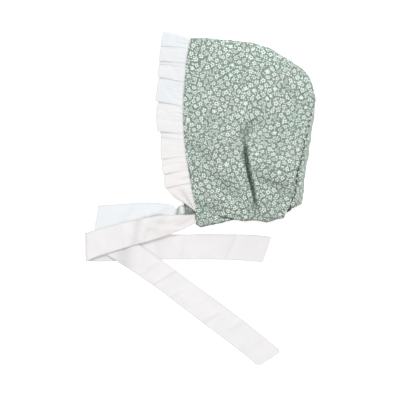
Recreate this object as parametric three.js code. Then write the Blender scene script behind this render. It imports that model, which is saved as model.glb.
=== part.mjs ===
// A baby's ruffled cotton bonnet laid on its left-out side: it lies on the right side panel, with the left side panel facing up, the face opening
// towards -X and the crown towards +Y. Three-panel cap: two side panels and one narrow gusset that runs from the forehead over the crown to the nape,
// a gathered ruffle round the face opening, and two flat ties that start gathered at the lower front corners and lie folded back on the surface.
// Units are millimetres, +Z up. The origin is on the resting surface, under the middle of the outline.
//
// Plan tables are written on a laying-out sheet: x to the right, y DOWN the sheet, both in millimetres. DATUM is the sheet point that lies on the origin.
import * as THREE from "three";

const DATUM = { x: 200.113, y: 199.7 }; // sheet coordinates of the frame's origin
const CLOTH = 1.2; // two layers of cotton poplin with their seam allowance, mm
const RUFFLE_CLOTH = 1.5; // doubled and gathered white cotton, mm
const TIE_CLOTH = 1.0; // tie, a turned tube of the same white cotton, mm
const GAP = 0.35; // clearance between pieces that are sewn together, mm
const GATHER_CLOTH = 2.4; // a tie's gathered end, mm

// ---------------------------------------------------------------- tables
// The gusset's route from the forehead to the nape, one row a section. xn, yn: edge of the upper (left) side panel, zn its height;
// xo, yo: the outermost line of the gusset; xf, yf: edge of the lower (right) side panel, zf its height.
const SEAM_COLUMNS = ["xn", "yn", "zn", "xo", "yo", "xf", "yf", "zf"];
const SEAM = [
  [190.9, 39.3, 24.0, 190.6, 37.5, 190.9, 39.7, 2.0],
  [204.2, 39.5, 26.5, 204.2, 37.6, 204.2, 40.2, 2.2],
  [218.0, 40.8, 28.5, 218.2, 39.0, 217.7, 41.7, 2.4],
  [232.1, 42.2, 30.0, 232.3, 40.4, 231.7, 43.2, 2.6],
  [246.6, 43.4, 31.5, 247.0, 41.6, 245.9, 44.6, 2.6],
  [257.3, 45.6, 32.5, 258.0, 43.9, 256.3, 47.0, 2.6],
  [266.2, 48.4, 33.0, 267.0, 46.7, 264.9, 50.0, 2.6],
  [280.4, 56.7, 33.8, 281.4, 55.1, 278.6, 58.6, 2.6],
  [291.4, 63.9, 34.0, 292.5, 62.4, 289.4, 66.2, 2.6],
  [300.2, 69.8, 34.0, 301.5, 68.2, 297.6, 72.4, 2.6],
  [305.1, 74.3, 34.0, 306.6, 73.0, 302.4, 77.0, 2.6],
  [308.9, 82.1, 33.8, 310.7, 81.3, 305.8, 84.4, 2.6],
  [311.6, 90.5, 33.6, 313.5, 90.0, 308.7, 91.8, 2.6],
  [312.9, 100.0, 33.4, 315.7, 100.0, 310.6, 100.6, 2.6],
  [310.6, 109.8, 33.0, 314.4, 110.0, 310.2, 110.0, 2.6],
  [308.2, 121.6, 32.5, 312.9, 122.2, 309.0, 121.6, 2.6],
  [305.1, 134.6, 31.5, 311.0, 135.4, 307.4, 134.4, 2.6],
  [302.3, 147.4, 30.0, 309.0, 148.4, 305.6, 147.2, 2.6],
  [299.9, 160.0, 28.0, 307.2, 161.0, 304.0, 159.8, 2.6],
  [296.8, 172.0, 26.0, 305.0, 172.6, 301.8, 171.6, 2.4],
  [294.9, 183.0, 24.0, 303.8, 183.0, 300.4, 182.6, 2.2],
  [293.1, 194.4, 21.0, 302.7, 193.4, 299.2, 193.0, 2.0],
  [288.4, 209.6, 16.8, 300.8, 204.6, 296.8, 205.2, 1.8],
];
const SEAM_CORNER = 9; // the row where the outline turns from the crown to the back

// Front edge of each side panel, from the lower corner up to the forehead: sheet x, y and height.
const FRONT_NEAR = [
  [196.4, 224.2, 7.5],
  [195.9, 211.0, 9.0],
  [193.2, 195.4, 11.0],
  [189.7, 174.3, 13.5],
  [186.1, 153.3, 16.0],
  [184.1, 132.2, 17.6],
  [183.4, 111.2, 18.8],
  [184.0, 93.0, 20.0],
  [185.4, 76.1, 21.2],
  [187.5, 55.6, 22.8],
  [190.9, 39.3, 24.0],
];
const FRONT_FAR = [
  [186.6, 217.6, 0.6],
  [184.7, 206.0, 0.5],
  [184.2, 192.0, 0.4],
  [183.2, 172.0, 0.3],
  [182.9, 152.0, 0.3],
  [182.9, 132.0, 0.3],
  [183.4, 111.0, 0.4],
  [184.4, 93.0, 0.6],
  [186.0, 76.0, 0.9],
  [188.0, 56.0, 1.4],
  [190.9, 39.7, 2.0],
];
// Nape edge, gathered on elastic, from the front corner to the gusset.
const NAPE_NEAR = [
  [196.4, 224.2, 7.5],
  [200.9, 226.8, 8.0],
  [211.2, 224.9, 9.4],
  [223.8, 221.9, 10.2],
  [236.5, 219.3, 12.2],
  [246.0, 220.6, 10.6],
  [254.7, 219.9, 12.8],
  [264.0, 221.3, 11.4],
  [271.0, 220.8, 13.6],
  [278.0, 218.6, 12.6],
  [284.0, 216.0, 14.8],
  [288.4, 209.6, 16.8],
];
const NAPE_FAR = [
  [186.6, 217.6, 0.6],
  [200.0, 220.4, 0.4],
  [213.0, 218.6, 0.8],
  [226.0, 217.0, 0.2],
  [239.0, 215.8, 1.0],
  [252.0, 216.2, 0.2],
  [265.0, 215.4, 1.0],
  [278.0, 212.2, 0.3],
  [289.6, 209.4, 1.2],
  [296.8, 205.2, 1.8],
];

// The upper panel's swell: how high it stands above the surface spanned by its four edges, and over what distance it gets there.
const SWELL = { height: 12.0, seam: 30, front: 62, nape: 58, frontShare: 0.12 };
// Folds pressed into the upper panel, each a line of rows: sheet x, y, depth, half width. A negative depth is a raised puff.
const FOLDS = [
  [
    [242.4, 124, 0.0, 6.0],
    [244.4, 138, 3.0, 5.8],
    [247.0, 156, 7.4, 5.4],
    [249.8, 174, 8.6, 5.4],
    [253.2, 192, 6.6, 5.2],
    [256.4, 207, 1.6, 4.8],
  ],
  [
    [243.6, 128, 2.0, 6.0],
    [252.0, 121, 1.4, 6.0],
    [263.0, 115, 0.0, 6.0],
  ],
  [
    [257.0, 171, 2.0, 6.0],
    [270.0, 176, 3.2, 6.5],
    [284.0, 182, 3.0, 6.5],
    [294.0, 188, 1.0, 6.0],
  ],
  [
    [190.0, 146, 0.6, 9.0],
    [208.0, 154, 1.8, 9.0],
    [222.0, 168, 2.6, 9.0],
    [238.0, 188, 1.6, 9.0],
  ],
  [
    [262.0, 150, -1.0, 13.0],
    [276.0, 160, -2.4, 14.0],
    [286.0, 166, -1.0, 12.0],
  ],
  [
    [262.0, 196, -2.4, 9.0],
    [274.0, 200, -2.0, 9.0],
  ],
];

// Ruffle over the upper panel: one row a pleat lip, from the forehead down. yi: sheet y where the lip meets the seam; xo, yo: its outer end;
// xs: where the next pleat starts on the outer edge; lip: how far it stands up.
const PLEATS_NEAR = [
  [47.0, 160.6, 45.0, 160.5, 1.6],
  [62.5, 158.9, 60.3, 160.1, 2.4],
  [82.0, 157.8, 76.3, 159.4, 3.0],
  [106.0, 155.5, 100.2, 158.5, 3.4],
  [121.0, 155.7, 118.0, 156.1, 1.6],
  [134.0, 157.4, 130.7, 159.9, 3.4],
  [155.6, 160.7, 158.8, 162.5, 3.0],
  [169.4, 162.4, 174.5, 164.6, 3.0],
  [182.6, 164.6, 187.6, 167.1, 3.0],
];
// The ruffle's tapered end below its last lip: seam y, outer x, outer y, standing up.
const TAPER_NEAR = [
  [190.0, 170.6, 193.8, 2.2],
  [198.0, 178.4, 200.2, 0.6],
  [206.0, 187.6, 205.2, 1.4],
  [211.0, 194.6, 210.2, 0.4],
];
// Ruffle over the forehead, where it turns down round the gusset's front end: share of the way down, outer x, y, standing out.
const PLEATS_TOP = [
  [0.1, 163.2, 31.2, 0.4],
  [0.3, 162.7, 32.7, 2.2],
  [0.42, 163.9, 32.8, 0.4],
  [0.62, 162.9, 33.1, 2.0],
  [0.74, 164.1, 33.6, 0.4],
  [0.92, 163.5, 33.8, 1.2],
];
// Ruffle under the lower panel, resting on the surface: seam y, outer x, outer y, height of the wave.
const WAVES_FAR = [
  [46.0, 162.6, 42.0, 0.4],
  [57.0, 162.0, 55.0, 3.0],
  [66.0, 161.8, 65.0, 0.2],
  [77.0, 161.0, 77.0, 2.8],
  [87.0, 160.8, 88.0, 0.0],
  [99.0, 160.2, 100.0, 3.0],
  [110.0, 160.2, 111.0, 0.0],
  [121.0, 160.0, 122.0, 2.6],
  [131.0, 160.2, 132.0, 0.2],
  [142.0, 160.4, 144.0, 2.8],
  [152.0, 160.6, 154.0, 0.0],
  [163.0, 160.8, 165.0, 2.4],
  [173.0, 161.6, 175.0, 0.2],
  [183.0, 165.4, 184.6, 2.0],
  [192.0, 171.4, 192.6, 0.4],
  [200.0, 180.6, 199.6, 0.8],
  [203.6, 183.2, 203.4, 0.4],
];
const OUTER_DROP = [
  [40, 9.5],
  [75, 8.0],
  [110, 6.8],
  [150, 5.2],
  [185, 3.6],
  [212, 1.0],
]; // how far the upper ruffle's outer edge hangs below its seam, by sheet y

// Ties, one row a section from the bonnet's corner to the free end: xu, yu upper edge, xl, yl lower edge, z middle height, t thickness.
// turn rows are the folded-back end: the strip runs round a half circle from the height of the row before to that of the row after.
const TIE_NEAR = [
  [195.2, 214.4, 195.4, 223.4, 7.4, 2.4],
  [190.0, 214.8, 190.4, 225.8, 7.2, 1.8],
  [181.0, 214.9, 182.4, 229.8, 6.4, 1.3],
  [170.0, 214.9, 172.4, 233.5, 5.5, 1.0],
  [157.0, 215.9, 160.4, 237.7, 4.7, 1.0],
  [143.2, 218.2, 147.6, 241.7, 4.2, 1.0],
  [130.0, 221.0, 135.2, 245.0, 4.2, 1.0],
  [116.6, 224.1, 122.4, 248.9, 4.4, 1.0],
  [101.0, 228.2, 107.6, 253.3, 4.35, 1.0],
  [91.0, 230.9, 93.6, 258.0, 4.0, 1.0],
];
const TIE_NEAR_TURN = { xu: 84.3, yu: 232.6, xl: 85.0, yl: 261.2 };
const TIE_NEAR_BACK = [
  [91.0, 233.0, 92.0, 261.8, 0.5, 1.0],
  [105.0, 233.4, 106.0, 261.8, 0.5, 1.0],
  [125.0, 234.0, 125.0, 261.2, 0.5, 1.0],
  [150.0, 234.6, 150.0, 260.2, 0.5, 1.0],
  [173.0, 234.6, 172.0, 259.8, 0.5, 1.0],
  [196.0, 234.2, 194.0, 259.8, 0.5, 1.0],
  [218.0, 234.2, 215.0, 259.9, 0.5, 1.0],
  [240.0, 234.4, 235.0, 260.3, 0.5, 1.0],
  [258.0, 235.2, 251.0, 261.6, 0.5, 1.0],
  [271.7, 236.8, 263.4, 262.5, 0.5, 1.0],
];
const TIE_FAR = [
  [184.2, 206.2, 184.6, 214.2, 1.5, 2.4],
  [180.0, 205.6, 180.4, 215.6, 2.2, 2.0],
  [174.8, 205.4, 175.4, 218.0, 2.6, 1.5],
  [168.0, 203.8, 169.0, 221.6, 1.9, 1.1],
  [158.0, 202.6, 159.6, 226.2, 1.2, 1.0],
  [144.0, 202.2, 146.0, 229.0, 1.2, 1.0],
  [128.0, 203.2, 129.6, 230.2, 2.2, 1.0],
  [113.0, 204.3, 113.0, 231.4, 3.1, 1.0],
  [103.6, 204.9, 100.4, 232.8, 3.1, 1.0],
];
const TIE_FAR_TURN = { xu: 97.5, yu: 205.4, xl: 93.2, yl: 233.6 };
const TIE_FAR_BACK = [
  [101.4, 209.6, 94.6, 237.6, 1.9, 1.0],
  [108.4, 219.2, 97.4, 245.2, 1.9, 1.0],
  [117.6, 228.8, 104.4, 253.4, 1.9, 1.0],
  [130.4, 238.8, 116.2, 261.2, 1.9, 1.0],
  [143.0, 247.2, 128.4, 269.1, 1.9, 1.0],
  [158.6, 258.3, 143.4, 279.3, 1.9, 1.0],
  [174.6, 269.8, 159.0, 290.1, 0.9, 1.0],
  [190.4, 281.6, 174.8, 302.2, 0.5, 1.0],
  [213.4, 298.2, 197.6, 319.6, 0.5, 1.0],
  [237.0, 315.8, 221.0, 337.2, 0.5, 1.0],
  [260.6, 334.4, 243.6, 354.6, 0.5, 1.0],
  [276.0, 347.0, 254.8, 363.9, 0.5, 1.0],
  [281.9, 352.0, 259.4, 367.1, 0.5, 1.0],
];

// Colours and finish of the two cloths.
const PRINTED = new THREE.MeshStandardMaterial({ color: 0xa6b8ac, roughness: 0.92, metalness: 0 });
const LINING = new THREE.MeshStandardMaterial({ color: 0x9fb1a5, roughness: 0.94, metalness: 0 });
const WHITE = new THREE.MeshStandardMaterial({ color: 0xf1efed, roughness: 0.9, metalness: 0 });

// ---------------------------------------------------------------- small helpers
const at = (x, y, z) => new THREE.Vector3(x - DATUM.x, DATUM.y - y, z);
const clamp = (v, a = 0, b = 1) => Math.min(b, Math.max(a, v));
const ease = (v) => 1 - (1 - clamp(v)) ** 2;

// A smooth line through rows of any length, at share s of its run (rows are equally spaced in s unless stations says otherwise).
function through(rows, s, stations) {
  const n = rows.length - 1;
  let k = 0;
  const st = stations || rows.map((_, i) => i / n);
  while (k < n - 1 && s > st[k + 1]) k++;
  const f = clamp((s - st[k]) / (st[k + 1] - st[k]));
  const a = rows[Math.max(k - 1, 0)],
    b = rows[k],
    c = rows[k + 1],
    d = rows[Math.min(k + 2, n)];
  const sa = k > 0 ? st[k - 1] : 2 * st[0] - st[1],
    sd = k + 2 <= n ? st[k + 2] : 2 * st[n] - st[n - 1];
  const h = st[k + 1] - st[k];
  return b.map((v, i) => {
    const m0 = ((c[i] - a[i]) / (st[k + 1] - sa)) * h,
      m1 = ((d[i] - v) / (sd - st[k])) * h;
    return (
      (2 * f ** 3 - 3 * f ** 2 + 1) * v + (f ** 3 - 2 * f ** 2 + f) * m0 + (-2 * f ** 3 + 3 * f ** 2) * c[i] + (f ** 3 - f ** 2) * m1
    );
  });
}
// Shares of the run at which the rows sit when it is walked at an even pace in plan.
function pace(rows) {
  const out = [0];
  for (let i = 1; i < rows.length; i++) out.push(out[i - 1] + Math.hypot(rows[i][0] - rows[i - 1][0], rows[i][1] - rows[i - 1][1]));
  return out.map((v) => v / out[out.length - 1]);
}
const line = (rows) => {
  const st = pace(rows);
  return (s) => through(rows, s, st);
};

// One closed solid from two grids of the same size: the face side and the back side of a cloth.
function slab(face, back) {
  const nu = face.length,
    nv = face[0].length;
  const points = [];
  const id = (side, i, j) => side * nu * nv + i * nv + j;
  for (const g of [face, back]) for (let i = 0; i < nu; i++) for (let j = 0; j < nv; j++) points.push(g[i][j].x, g[i][j].y, g[i][j].z);
  const tri = [];
  const quad = (a, b, c, d) => tri.push(a, b, c, a, c, d);
  for (let i = 0; i + 1 < nu; i++)
    for (let j = 0; j + 1 < nv; j++) {
      quad(id(0, i, j), id(0, i + 1, j), id(0, i + 1, j + 1), id(0, i, j + 1));
      quad(id(1, i, j), id(1, i, j + 1), id(1, i + 1, j + 1), id(1, i + 1, j));
    }
  for (let i = 0; i + 1 < nu; i++) {
    quad(id(0, i, 0), id(1, i, 0), id(1, i + 1, 0), id(0, i + 1, 0));
    quad(id(0, i + 1, nv - 1), id(1, i + 1, nv - 1), id(1, i, nv - 1), id(0, i, nv - 1));
  }
  for (let j = 0; j + 1 < nv; j++) {
    quad(id(0, 0, j + 1), id(1, 0, j + 1), id(1, 0, j), id(0, 0, j));
    quad(id(0, nu - 1, j), id(1, nu - 1, j), id(1, nu - 1, j + 1), id(0, nu - 1, j + 1));
  }
  const volume = (list) => {
    let v = 0;
    const p = (k) => new THREE.Vector3(points[3 * k], points[3 * k + 1], points[3 * k + 2]);
    for (let k = 0; k < list.length; k += 3) v += p(list[k]).dot(p(list[k + 1]).cross(p(list[k + 2])));
    return v;
  };
  if (volume(tri) < 0) for (let k = 0; k < tri.length; k += 3) [tri[k + 1], tri[k + 2]] = [tri[k + 2], tri[k + 1]];
  const g = new THREE.BufferGeometry();
  g.setAttribute("position", new THREE.Float32BufferAttribute(points, 3));
  g.setIndex(tri);
  g.computeVertexNormals();
  return g;
}
// Unit normals of a grid, by central differences; flip turns them over.
function normals(grid, flip = 1) {
  const nu = grid.length,
    nv = grid[0].length;
  return grid.map((row, i) =>
    row.map((_, j) => {
      const du = grid[Math.min(i + 1, nu - 1)][j].clone().sub(grid[Math.max(i - 1, 0)][j]);
      const dv = grid[i][Math.min(j + 1, nv - 1)].clone().sub(grid[i][Math.max(j - 1, 0)]);
      return du.cross(dv).normalize().multiplyScalar(flip);
    }),
  );
}
const offset = (grid, dirs, by) => grid.map((row, i) => row.map((p, j) => p.clone().addScaledVector(dirs[i][j], by)));

// ---------------------------------------------------------------- side panels
const seamRow = (k) => Object.fromEntries(SEAM_COLUMNS.map((c, i) => [c, SEAM[k][i]]));
const seamEdge = (cx, cy, cz, from, to) => {
  const rows = [];
  for (let k = from; k <= to; k++) {
    const r = seamRow(k);
    rows.push([r[cx], r[cy], r[cz]]);
  }
  return rows;
};
const LAST = SEAM.length - 1;
const nearTop = line(seamEdge("xn", "yn", "zn", 0, SEAM_CORNER));
const nearBack = line(seamEdge("xn", "yn", "zn", SEAM_CORNER, LAST).reverse());
const farTop = line(seamEdge("xf", "yf", "zf", 0, SEAM_CORNER));
const farBack = line(seamEdge("xf", "yf", "zf", SEAM_CORNER, LAST).reverse());

// A patch spanned by four edges: u from the front to the back, v from the nape up to the crown.
function patch(front, back, nape, top) {
  const c00 = front(0),
    c01 = front(1),
    c10 = back(0),
    c11 = back(1);
  return (u, v) => {
    const f = front(v),
      b = back(v),
      n = nape(u),
      t = top(u);
    return f.map(
      (_, i) =>
        (1 - u) * f[i] +
        u * b[i] +
        (1 - v) * n[i] +
        v * t[i] -
        ((1 - u) * (1 - v) * c00[i] + (1 - u) * v * c01[i] + u * (1 - v) * c10[i] + u * v * c11[i]),
    );
  };
}
const nearSpan = patch(line(FRONT_NEAR), nearBack, line(NAPE_NEAR), nearTop);
const farSpan = patch(line(FRONT_FAR), farBack, line(NAPE_FAR), farTop);

// How deep the folds are at a sheet point.
function foldDepth(x, y) {
  let sum = 0;
  for (const rows of FOLDS) {
    let best = null;
    for (let k = 0; k + 1 < rows.length; k++) {
      const [ax, ay, ad, aw] = rows[k],
        [bx, by, bd, bw] = rows[k + 1];
      const f = clamp(((x - ax) * (bx - ax) + (y - ay) * (by - ay)) / ((bx - ax) ** 2 + (by - ay) ** 2));
      const d = Math.hypot(x - ax - f * (bx - ax), y - ay - f * (by - ay));
      if (!best || d < best.d) best = { d, depth: ad + f * (bd - ad), w: aw + f * (bw - aw) };
    }
    sum += best.depth * Math.exp(-((best.d / best.w) ** 2));
  }
  return sum;
}
const WIDTH = 115,
  HEIGHT = 178; // the panel's run front to back and nape to crown, for the swell's distances
function nearPoint(u, v) {
  const [x, y, z] = nearSpan(u, v);
  const swell =
    SWELL.height *
    ease(((1 - u) * WIDTH) / SWELL.seam) *
    ease(((1 - v) * HEIGHT) / SWELL.seam) *
    (SWELL.frontShare + (1 - SWELL.frontShare) * ease((u * WIDTH) / SWELL.front)) *
    ease((v * HEIGHT) / SWELL.nape);
  const edge = ease(((1 - u) * WIDTH) / 12) * ease(((1 - v) * HEIGHT) / 12) * ease((u * WIDTH) / 12) * ease((v * HEIGHT) / 10);
  return at(x, y, z + swell - foldDepth(x, y) * edge);
}
const spaced = (n, bias = 0) => Array.from({ length: n + 1 }, (_, i) => i / n - (bias * Math.sin((2 * Math.PI * i) / n)) / (2 * Math.PI));
function nearPanel() {
  const us = spaced(26, 0.2),
    vs = spaced(32, 0.2);
  const face = us.map((u) => vs.map((v) => nearPoint(u, v)));
  const n = normals(face);
  return slab(face, offset(face, n, n[5][5].z > 0 ? -CLOTH : CLOTH));
}
// The lower panel: flattened on the surface, its outline lifting a little towards the seams.
function farPoint(u, v) {
  const [x, y, z] = farSpan(u, v);
  const lift =
    z *
    Math.max(
      1 - ease(((1 - u) * WIDTH) / 16),
      1 - ease(((1 - v) * HEIGHT) / 16),
      1 - ease((u * WIDTH) / 14),
      1 - ease((v * HEIGHT) / 12),
    );
  return at(x, y, lift);
}
function farPanel() {
  const us = spaced(14, 0.6),
    vs = spaced(20, 0.6);
  const face = us.map((u) => vs.map((v) => farPoint(u, v)));
  return slab(
    face,
    face.map((row) => row.map((p) => p.clone().setZ(p.z + CLOTH))),
  );
}

// ---------------------------------------------------------------- gusset
// Section of the gusset's outer face at row share s, w from the upper seam to the lower one.
const seamLine = (() => {
  const rows = SEAM.map((r) => [r[3], r[4], ...r]);
  const st = pace(rows);
  return (s) => through(rows, s, st).slice(2);
})();
function outward(ax, ay, bx, by) {
  const d = Math.hypot(ax - bx, ay - by) || 1;
  return [(ax - bx) / d, (ay - by) / d];
}
function gussetPoint(s, w) {
  const r = seamLine(s),
    e = 1e-3;
  const a = seamLine(clamp(s - e)),
    b = seamLine(clamp(s + e));
  // plan normal of the gusset's outline, pointing away from the panels
  const tx = b[3] - a[3],
    ty = b[4] - a[4],
    tl = Math.hypot(tx, ty);
  const nx = ty / tl,
    ny = -tx / tl;
  const out = GAP + CLOTH;
  const p0 = [r[0] + nx * out, r[1] + ny * out, r[2] - 0.3];
  const p1 = [r[3], r[4], r[2] * 0.45 + 0.6];
  const p2 = [r[5] + nx * out, r[6] + ny * out, r[7] * 0.5 + 0.1];
  const l0 = (1 - w) * (1 - 2 * w),
    l1 = 4 * w * (1 - w),
    l2 = w * (2 * w - 1);
  return at(p0[0] * l0 + p1[0] * l1 + p2[0] * l2, p0[1] * l0 + p1[1] * l1 + p2[1] * l2, p0[2] * l0 + p1[2] * l1 + p2[2] * l2);
}
function gusset() {
  const ss = spaced(46, 0),
    ws = [0, 0.12, 0.32, 0.52, 0.74, 0.9, 1];
  const face = ss.map((s) => ws.map((w) => gussetPoint(s, w)));
  const n = normals(face);
  const back = offset(face, n, n[10][3].y > 0 ? -CLOTH : CLOTH);
  back.forEach((row) => row.forEach((p) => (p.z = Math.max(p.z, 0.05))));
  return slab(face, back);
}

// ---------------------------------------------------------------- ruffle
const frontNear = line(FRONT_NEAR),
  frontFar = line(FRONT_FAR);
const byY = (edge) => (y) => {
  let lo = 0,
    hi = 1;
  for (let k = 0; k < 40; k++) {
    const m = (lo + hi) / 2;
    if (edge(m)[1] > y) lo = m;
    else hi = m;
  }
  return edge(lo);
};
const nearAt = byY(frontNear),
  farAt = byY(frontFar);
const drop = (y) => {
  const t = OUTER_DROP;
  if (y <= t[0][0]) return t[0][1];
  for (let k = 0; k + 1 < t.length; k++)
    if (y <= t[k + 1][0]) return t[k][1] + ((t[k + 1][1] - t[k][1]) * (y - t[k][0])) / (t[k + 1][0] - t[k][0]);
  return t[t.length - 1][1];
};
function ruffle() {
  // stations: seam point, outer point, direction that the pleat stands in, and its height there
  const st = [];
  const near = (yi, xo, yo, h) => {
    const [x, y, z] = nearAt(yi);
    st.push({ s: at(x - GAP, y, z - 0.1), o: at(xo, yo, z - drop(yi)), n: new THREE.Vector3(0, 0, 1), h });
  };
  [...TAPER_NEAR].reverse().forEach(([yi, xo, yo, h]) => near(yi, xo, yo, h));
  const lips = [[40.5, 163.9, 32.2, 163.6, 0.6], ...PLEATS_NEAR];
  for (let k = lips.length - 1; k > 0; k--) {
    const [yi, xo, yo, xs, h] = lips[k],
      up = lips[k - 1];
    const run = 0.62 * h;
    near(Math.min(yi + run, 188), xs, yo + run, 0); // foot of the next pleat down
    near(yi, xo, yo, h); // lip
    near(yi * 0.5 + up[0] * 0.5, (xo + up[3]) / 2 - 0.3, (yo + up[2]) / 2, h * 0.62);
  }
  near(40.5, 163.9, 32.2, 0.3);
  // round the gusset's front end
  for (const [w, xo, yo, h] of PLEATS_TOP) {
    const p = gussetPoint(0, w);
    p.x -= GAP + 0.1;
    const z = p.z - 9 * (1 - w) + 0.9 * w;
    st.push({ s: p, o: at(xo, yo, z), n: new THREE.Vector3(0, 1, 0), h });
  }
  for (const [yi, xo, yo, h] of WAVES_FAR) {
    const [x, y, z] = farAt(yi);
    st.push({ s: at(x - GAP, y, z), o: at(xo, yo, 0), n: new THREE.Vector3(0, 0, 1), h, far: true });
  }
  const ts = [0, 0.3, 0.65, 1];
  const face = [],
    back = [];
  st.forEach((q, i) => {
    const grow = (t) => 0.22 + 0.78 * t ** 0.8;
    const row = ts.map((t) => q.s.clone().lerp(q.o, t).addScaledVector(q.n, q.h * grow(t)));
    // the upper ruffle bows a little before it droops
    if (!q.far && q.n.z > 0.5) row.forEach((p, j) => (p.z += 1.6 * ts[j] * (1 - ts[j]) * 4 * 0.5));
    face.push(row);
    const turn = new THREE.Vector3(0, q.n.z > 0.5 ? 0 : -1, q.far ? 1 : q.n.z > 0.5 ? -1 : 0);
    back.push(row.map((p) => p.clone().addScaledVector(turn, RUFFLE_CLOTH)));
  });
  return { st, face, back };
}

// ---------------------------------------------------------------- ties
// Stations of a tie: middle surface rows [upper edge, middle, lower edge], with the direction the face side looks.
function tie(out, turn, back) {
  const rows = [];
  const put = (r, n) => {
    const [xu, yu, xl, yl, z, t] = r;
    rows.push({ u: at(xu, yu, z), l: at(xl, yl, z), n, t });
  };
  const up = new THREE.Vector3(0, 0, 1),
    down = new THREE.Vector3(0, 0, -1);
  out.forEach((r) => put(r, up.clone()));
  const zt = out[out.length - 1][4],
    zb = back[0][4],
    rad = (zt - zb) / 2,
    t = TIE_CLOTH;
  for (const deg of [90, 50, 15, -15, -50, -90]) {
    const a = (deg * Math.PI) / 180;
    const dx = rad + t / 2 - rad * Math.cos(a); // set back from the fold's outermost line
    rows.push({
      u: at(turn.xu + dx, turn.yu, (zt + zb) / 2 + rad * Math.sin(a)),
      l: at(turn.xl + dx, turn.yl, (zt + zb) / 2 + rad * Math.sin(a)),
      n: new THREE.Vector3(-Math.cos(a), 0, Math.sin(a)),
      t,
    });
  }
  back.forEach((r) => put(r, down.clone()));
  const js = [0, 0.5, 1];
  const grid = (sign) => rows.map((r) => js.map((j) => r.u.clone().lerp(r.l, j).addScaledVector(r.n, (sign * r.t) / 2)));
  return slab(grid(1), grid(-1));
}

// ---------------------------------------------------------------- assembly
const bonnet = new THREE.Group();
bonnet.name = "bonnet";
const add = (name, geometry, material) => {
  const m = new THREE.Mesh(geometry, material);
  m.name = name;
  bonnet.add(m);
};
add("left_side_panel", nearPanel(), PRINTED);
add("right_side_panel", farPanel(), LINING);
add("crown_gusset", gusset(), PRINTED);
const brim = ruffle();
add("ruffle_brim", slab(brim.face, brim.back), WHITE);
add("left_tie", tie(TIE_NEAR, TIE_NEAR_TURN, TIE_NEAR_BACK), WHITE);
add("right_tie", tie(TIE_FAR, TIE_FAR_TURN, TIE_FAR_BACK), WHITE);

export default bonnet;
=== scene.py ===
"""A baby's ruffled cotton bonnet laid on its side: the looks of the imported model.

The tables repeat the routes and edges of the model's source, in millimetres on a laying-out sheet: x to the right, y down the sheet. DATUM is the sheet
point that lies on the frame's origin. Each piece is a closed cloth shell worked out from those tables at a fine pitch, with its folds, gathers and stitches.
"""

import bpy
import numpy as np
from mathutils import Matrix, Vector


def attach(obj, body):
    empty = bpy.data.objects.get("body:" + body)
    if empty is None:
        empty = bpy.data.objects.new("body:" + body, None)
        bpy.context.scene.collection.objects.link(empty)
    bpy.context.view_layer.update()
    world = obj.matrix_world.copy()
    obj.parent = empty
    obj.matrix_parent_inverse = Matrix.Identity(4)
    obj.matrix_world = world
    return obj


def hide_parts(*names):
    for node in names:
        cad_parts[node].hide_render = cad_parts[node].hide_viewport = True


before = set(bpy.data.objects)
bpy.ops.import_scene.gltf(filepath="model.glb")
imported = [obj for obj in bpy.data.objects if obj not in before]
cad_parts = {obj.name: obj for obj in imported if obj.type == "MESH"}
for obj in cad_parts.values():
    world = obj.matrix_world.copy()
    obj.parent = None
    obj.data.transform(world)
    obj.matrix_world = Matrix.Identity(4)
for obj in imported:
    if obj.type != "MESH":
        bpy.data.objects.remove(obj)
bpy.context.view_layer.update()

MM = 0.001
DATUM = (200.113, 199.7)
CLOTH = 1.1  # two layers of poplin, mm
RUFFLE_CLOTH = 0.7
TIE_CLOTH = 0.9
GAP = 0.35

# ------------------------------------------------------------------ tables
# The gusset's route from the forehead to the nape: xn, yn, zn edge of the upper side panel; xo, yo outermost line; xf, yf, zf edge of the lower one.
SEAM = np.array(
    [
        [190.9, 39.3, 24.0, 190.6, 37.5, 190.9, 39.7, 2.0],
        [204.2, 39.5, 26.5, 204.2, 37.6, 204.2, 40.2, 2.2],
        [218.0, 40.8, 28.5, 218.2, 39.0, 217.7, 41.7, 2.4],
        [232.1, 42.2, 30.0, 232.3, 40.4, 231.7, 43.2, 2.6],
        [246.6, 43.4, 31.5, 247.0, 41.6, 245.9, 44.6, 2.6],
        [257.3, 45.6, 32.5, 258.0, 43.9, 256.3, 47.0, 2.6],
        [266.2, 48.4, 33.0, 267.0, 46.7, 264.9, 50.0, 2.6],
        [280.4, 56.7, 33.8, 281.4, 55.1, 278.6, 58.6, 2.6],
        [291.4, 63.9, 34.0, 292.5, 62.4, 289.4, 66.2, 2.6],
        [300.2, 69.8, 34.0, 301.5, 68.2, 297.6, 72.4, 2.6],
        [305.1, 74.3, 34.0, 306.6, 73.0, 302.4, 77.0, 2.6],
        [308.9, 82.1, 33.8, 310.7, 81.3, 305.8, 84.4, 2.6],
        [311.6, 90.5, 33.6, 313.5, 90.0, 308.7, 91.8, 2.6],
        [312.9, 100.0, 33.4, 315.7, 100.0, 310.6, 100.6, 2.6],
        [310.6, 109.8, 33.0, 315.3, 110.0, 310.2, 110.0, 2.6],
        [308.2, 121.6, 32.5, 313.8, 122.2, 309.0, 121.6, 2.6],
        [305.1, 134.6, 31.5, 311.9, 135.4, 307.4, 134.4, 2.6],
        [302.3, 147.4, 30.0, 309.9, 148.4, 305.6, 147.2, 2.6],
        [299.9, 160.0, 28.0, 308.1, 161.0, 304.0, 159.8, 2.6],
        [296.8, 172.0, 26.0, 305.9, 172.6, 301.8, 171.6, 2.4],
        [294.9, 183.0, 24.0, 304.7, 183.0, 300.4, 182.6, 2.2],
        [293.1, 194.4, 21.0, 303.6, 193.4, 299.2, 193.0, 2.0],
        [288.4, 209.6, 16.8, 301.7, 204.6, 296.8, 205.2, 1.8],
    ]
)
SEAM_CORNER = 9
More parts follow.
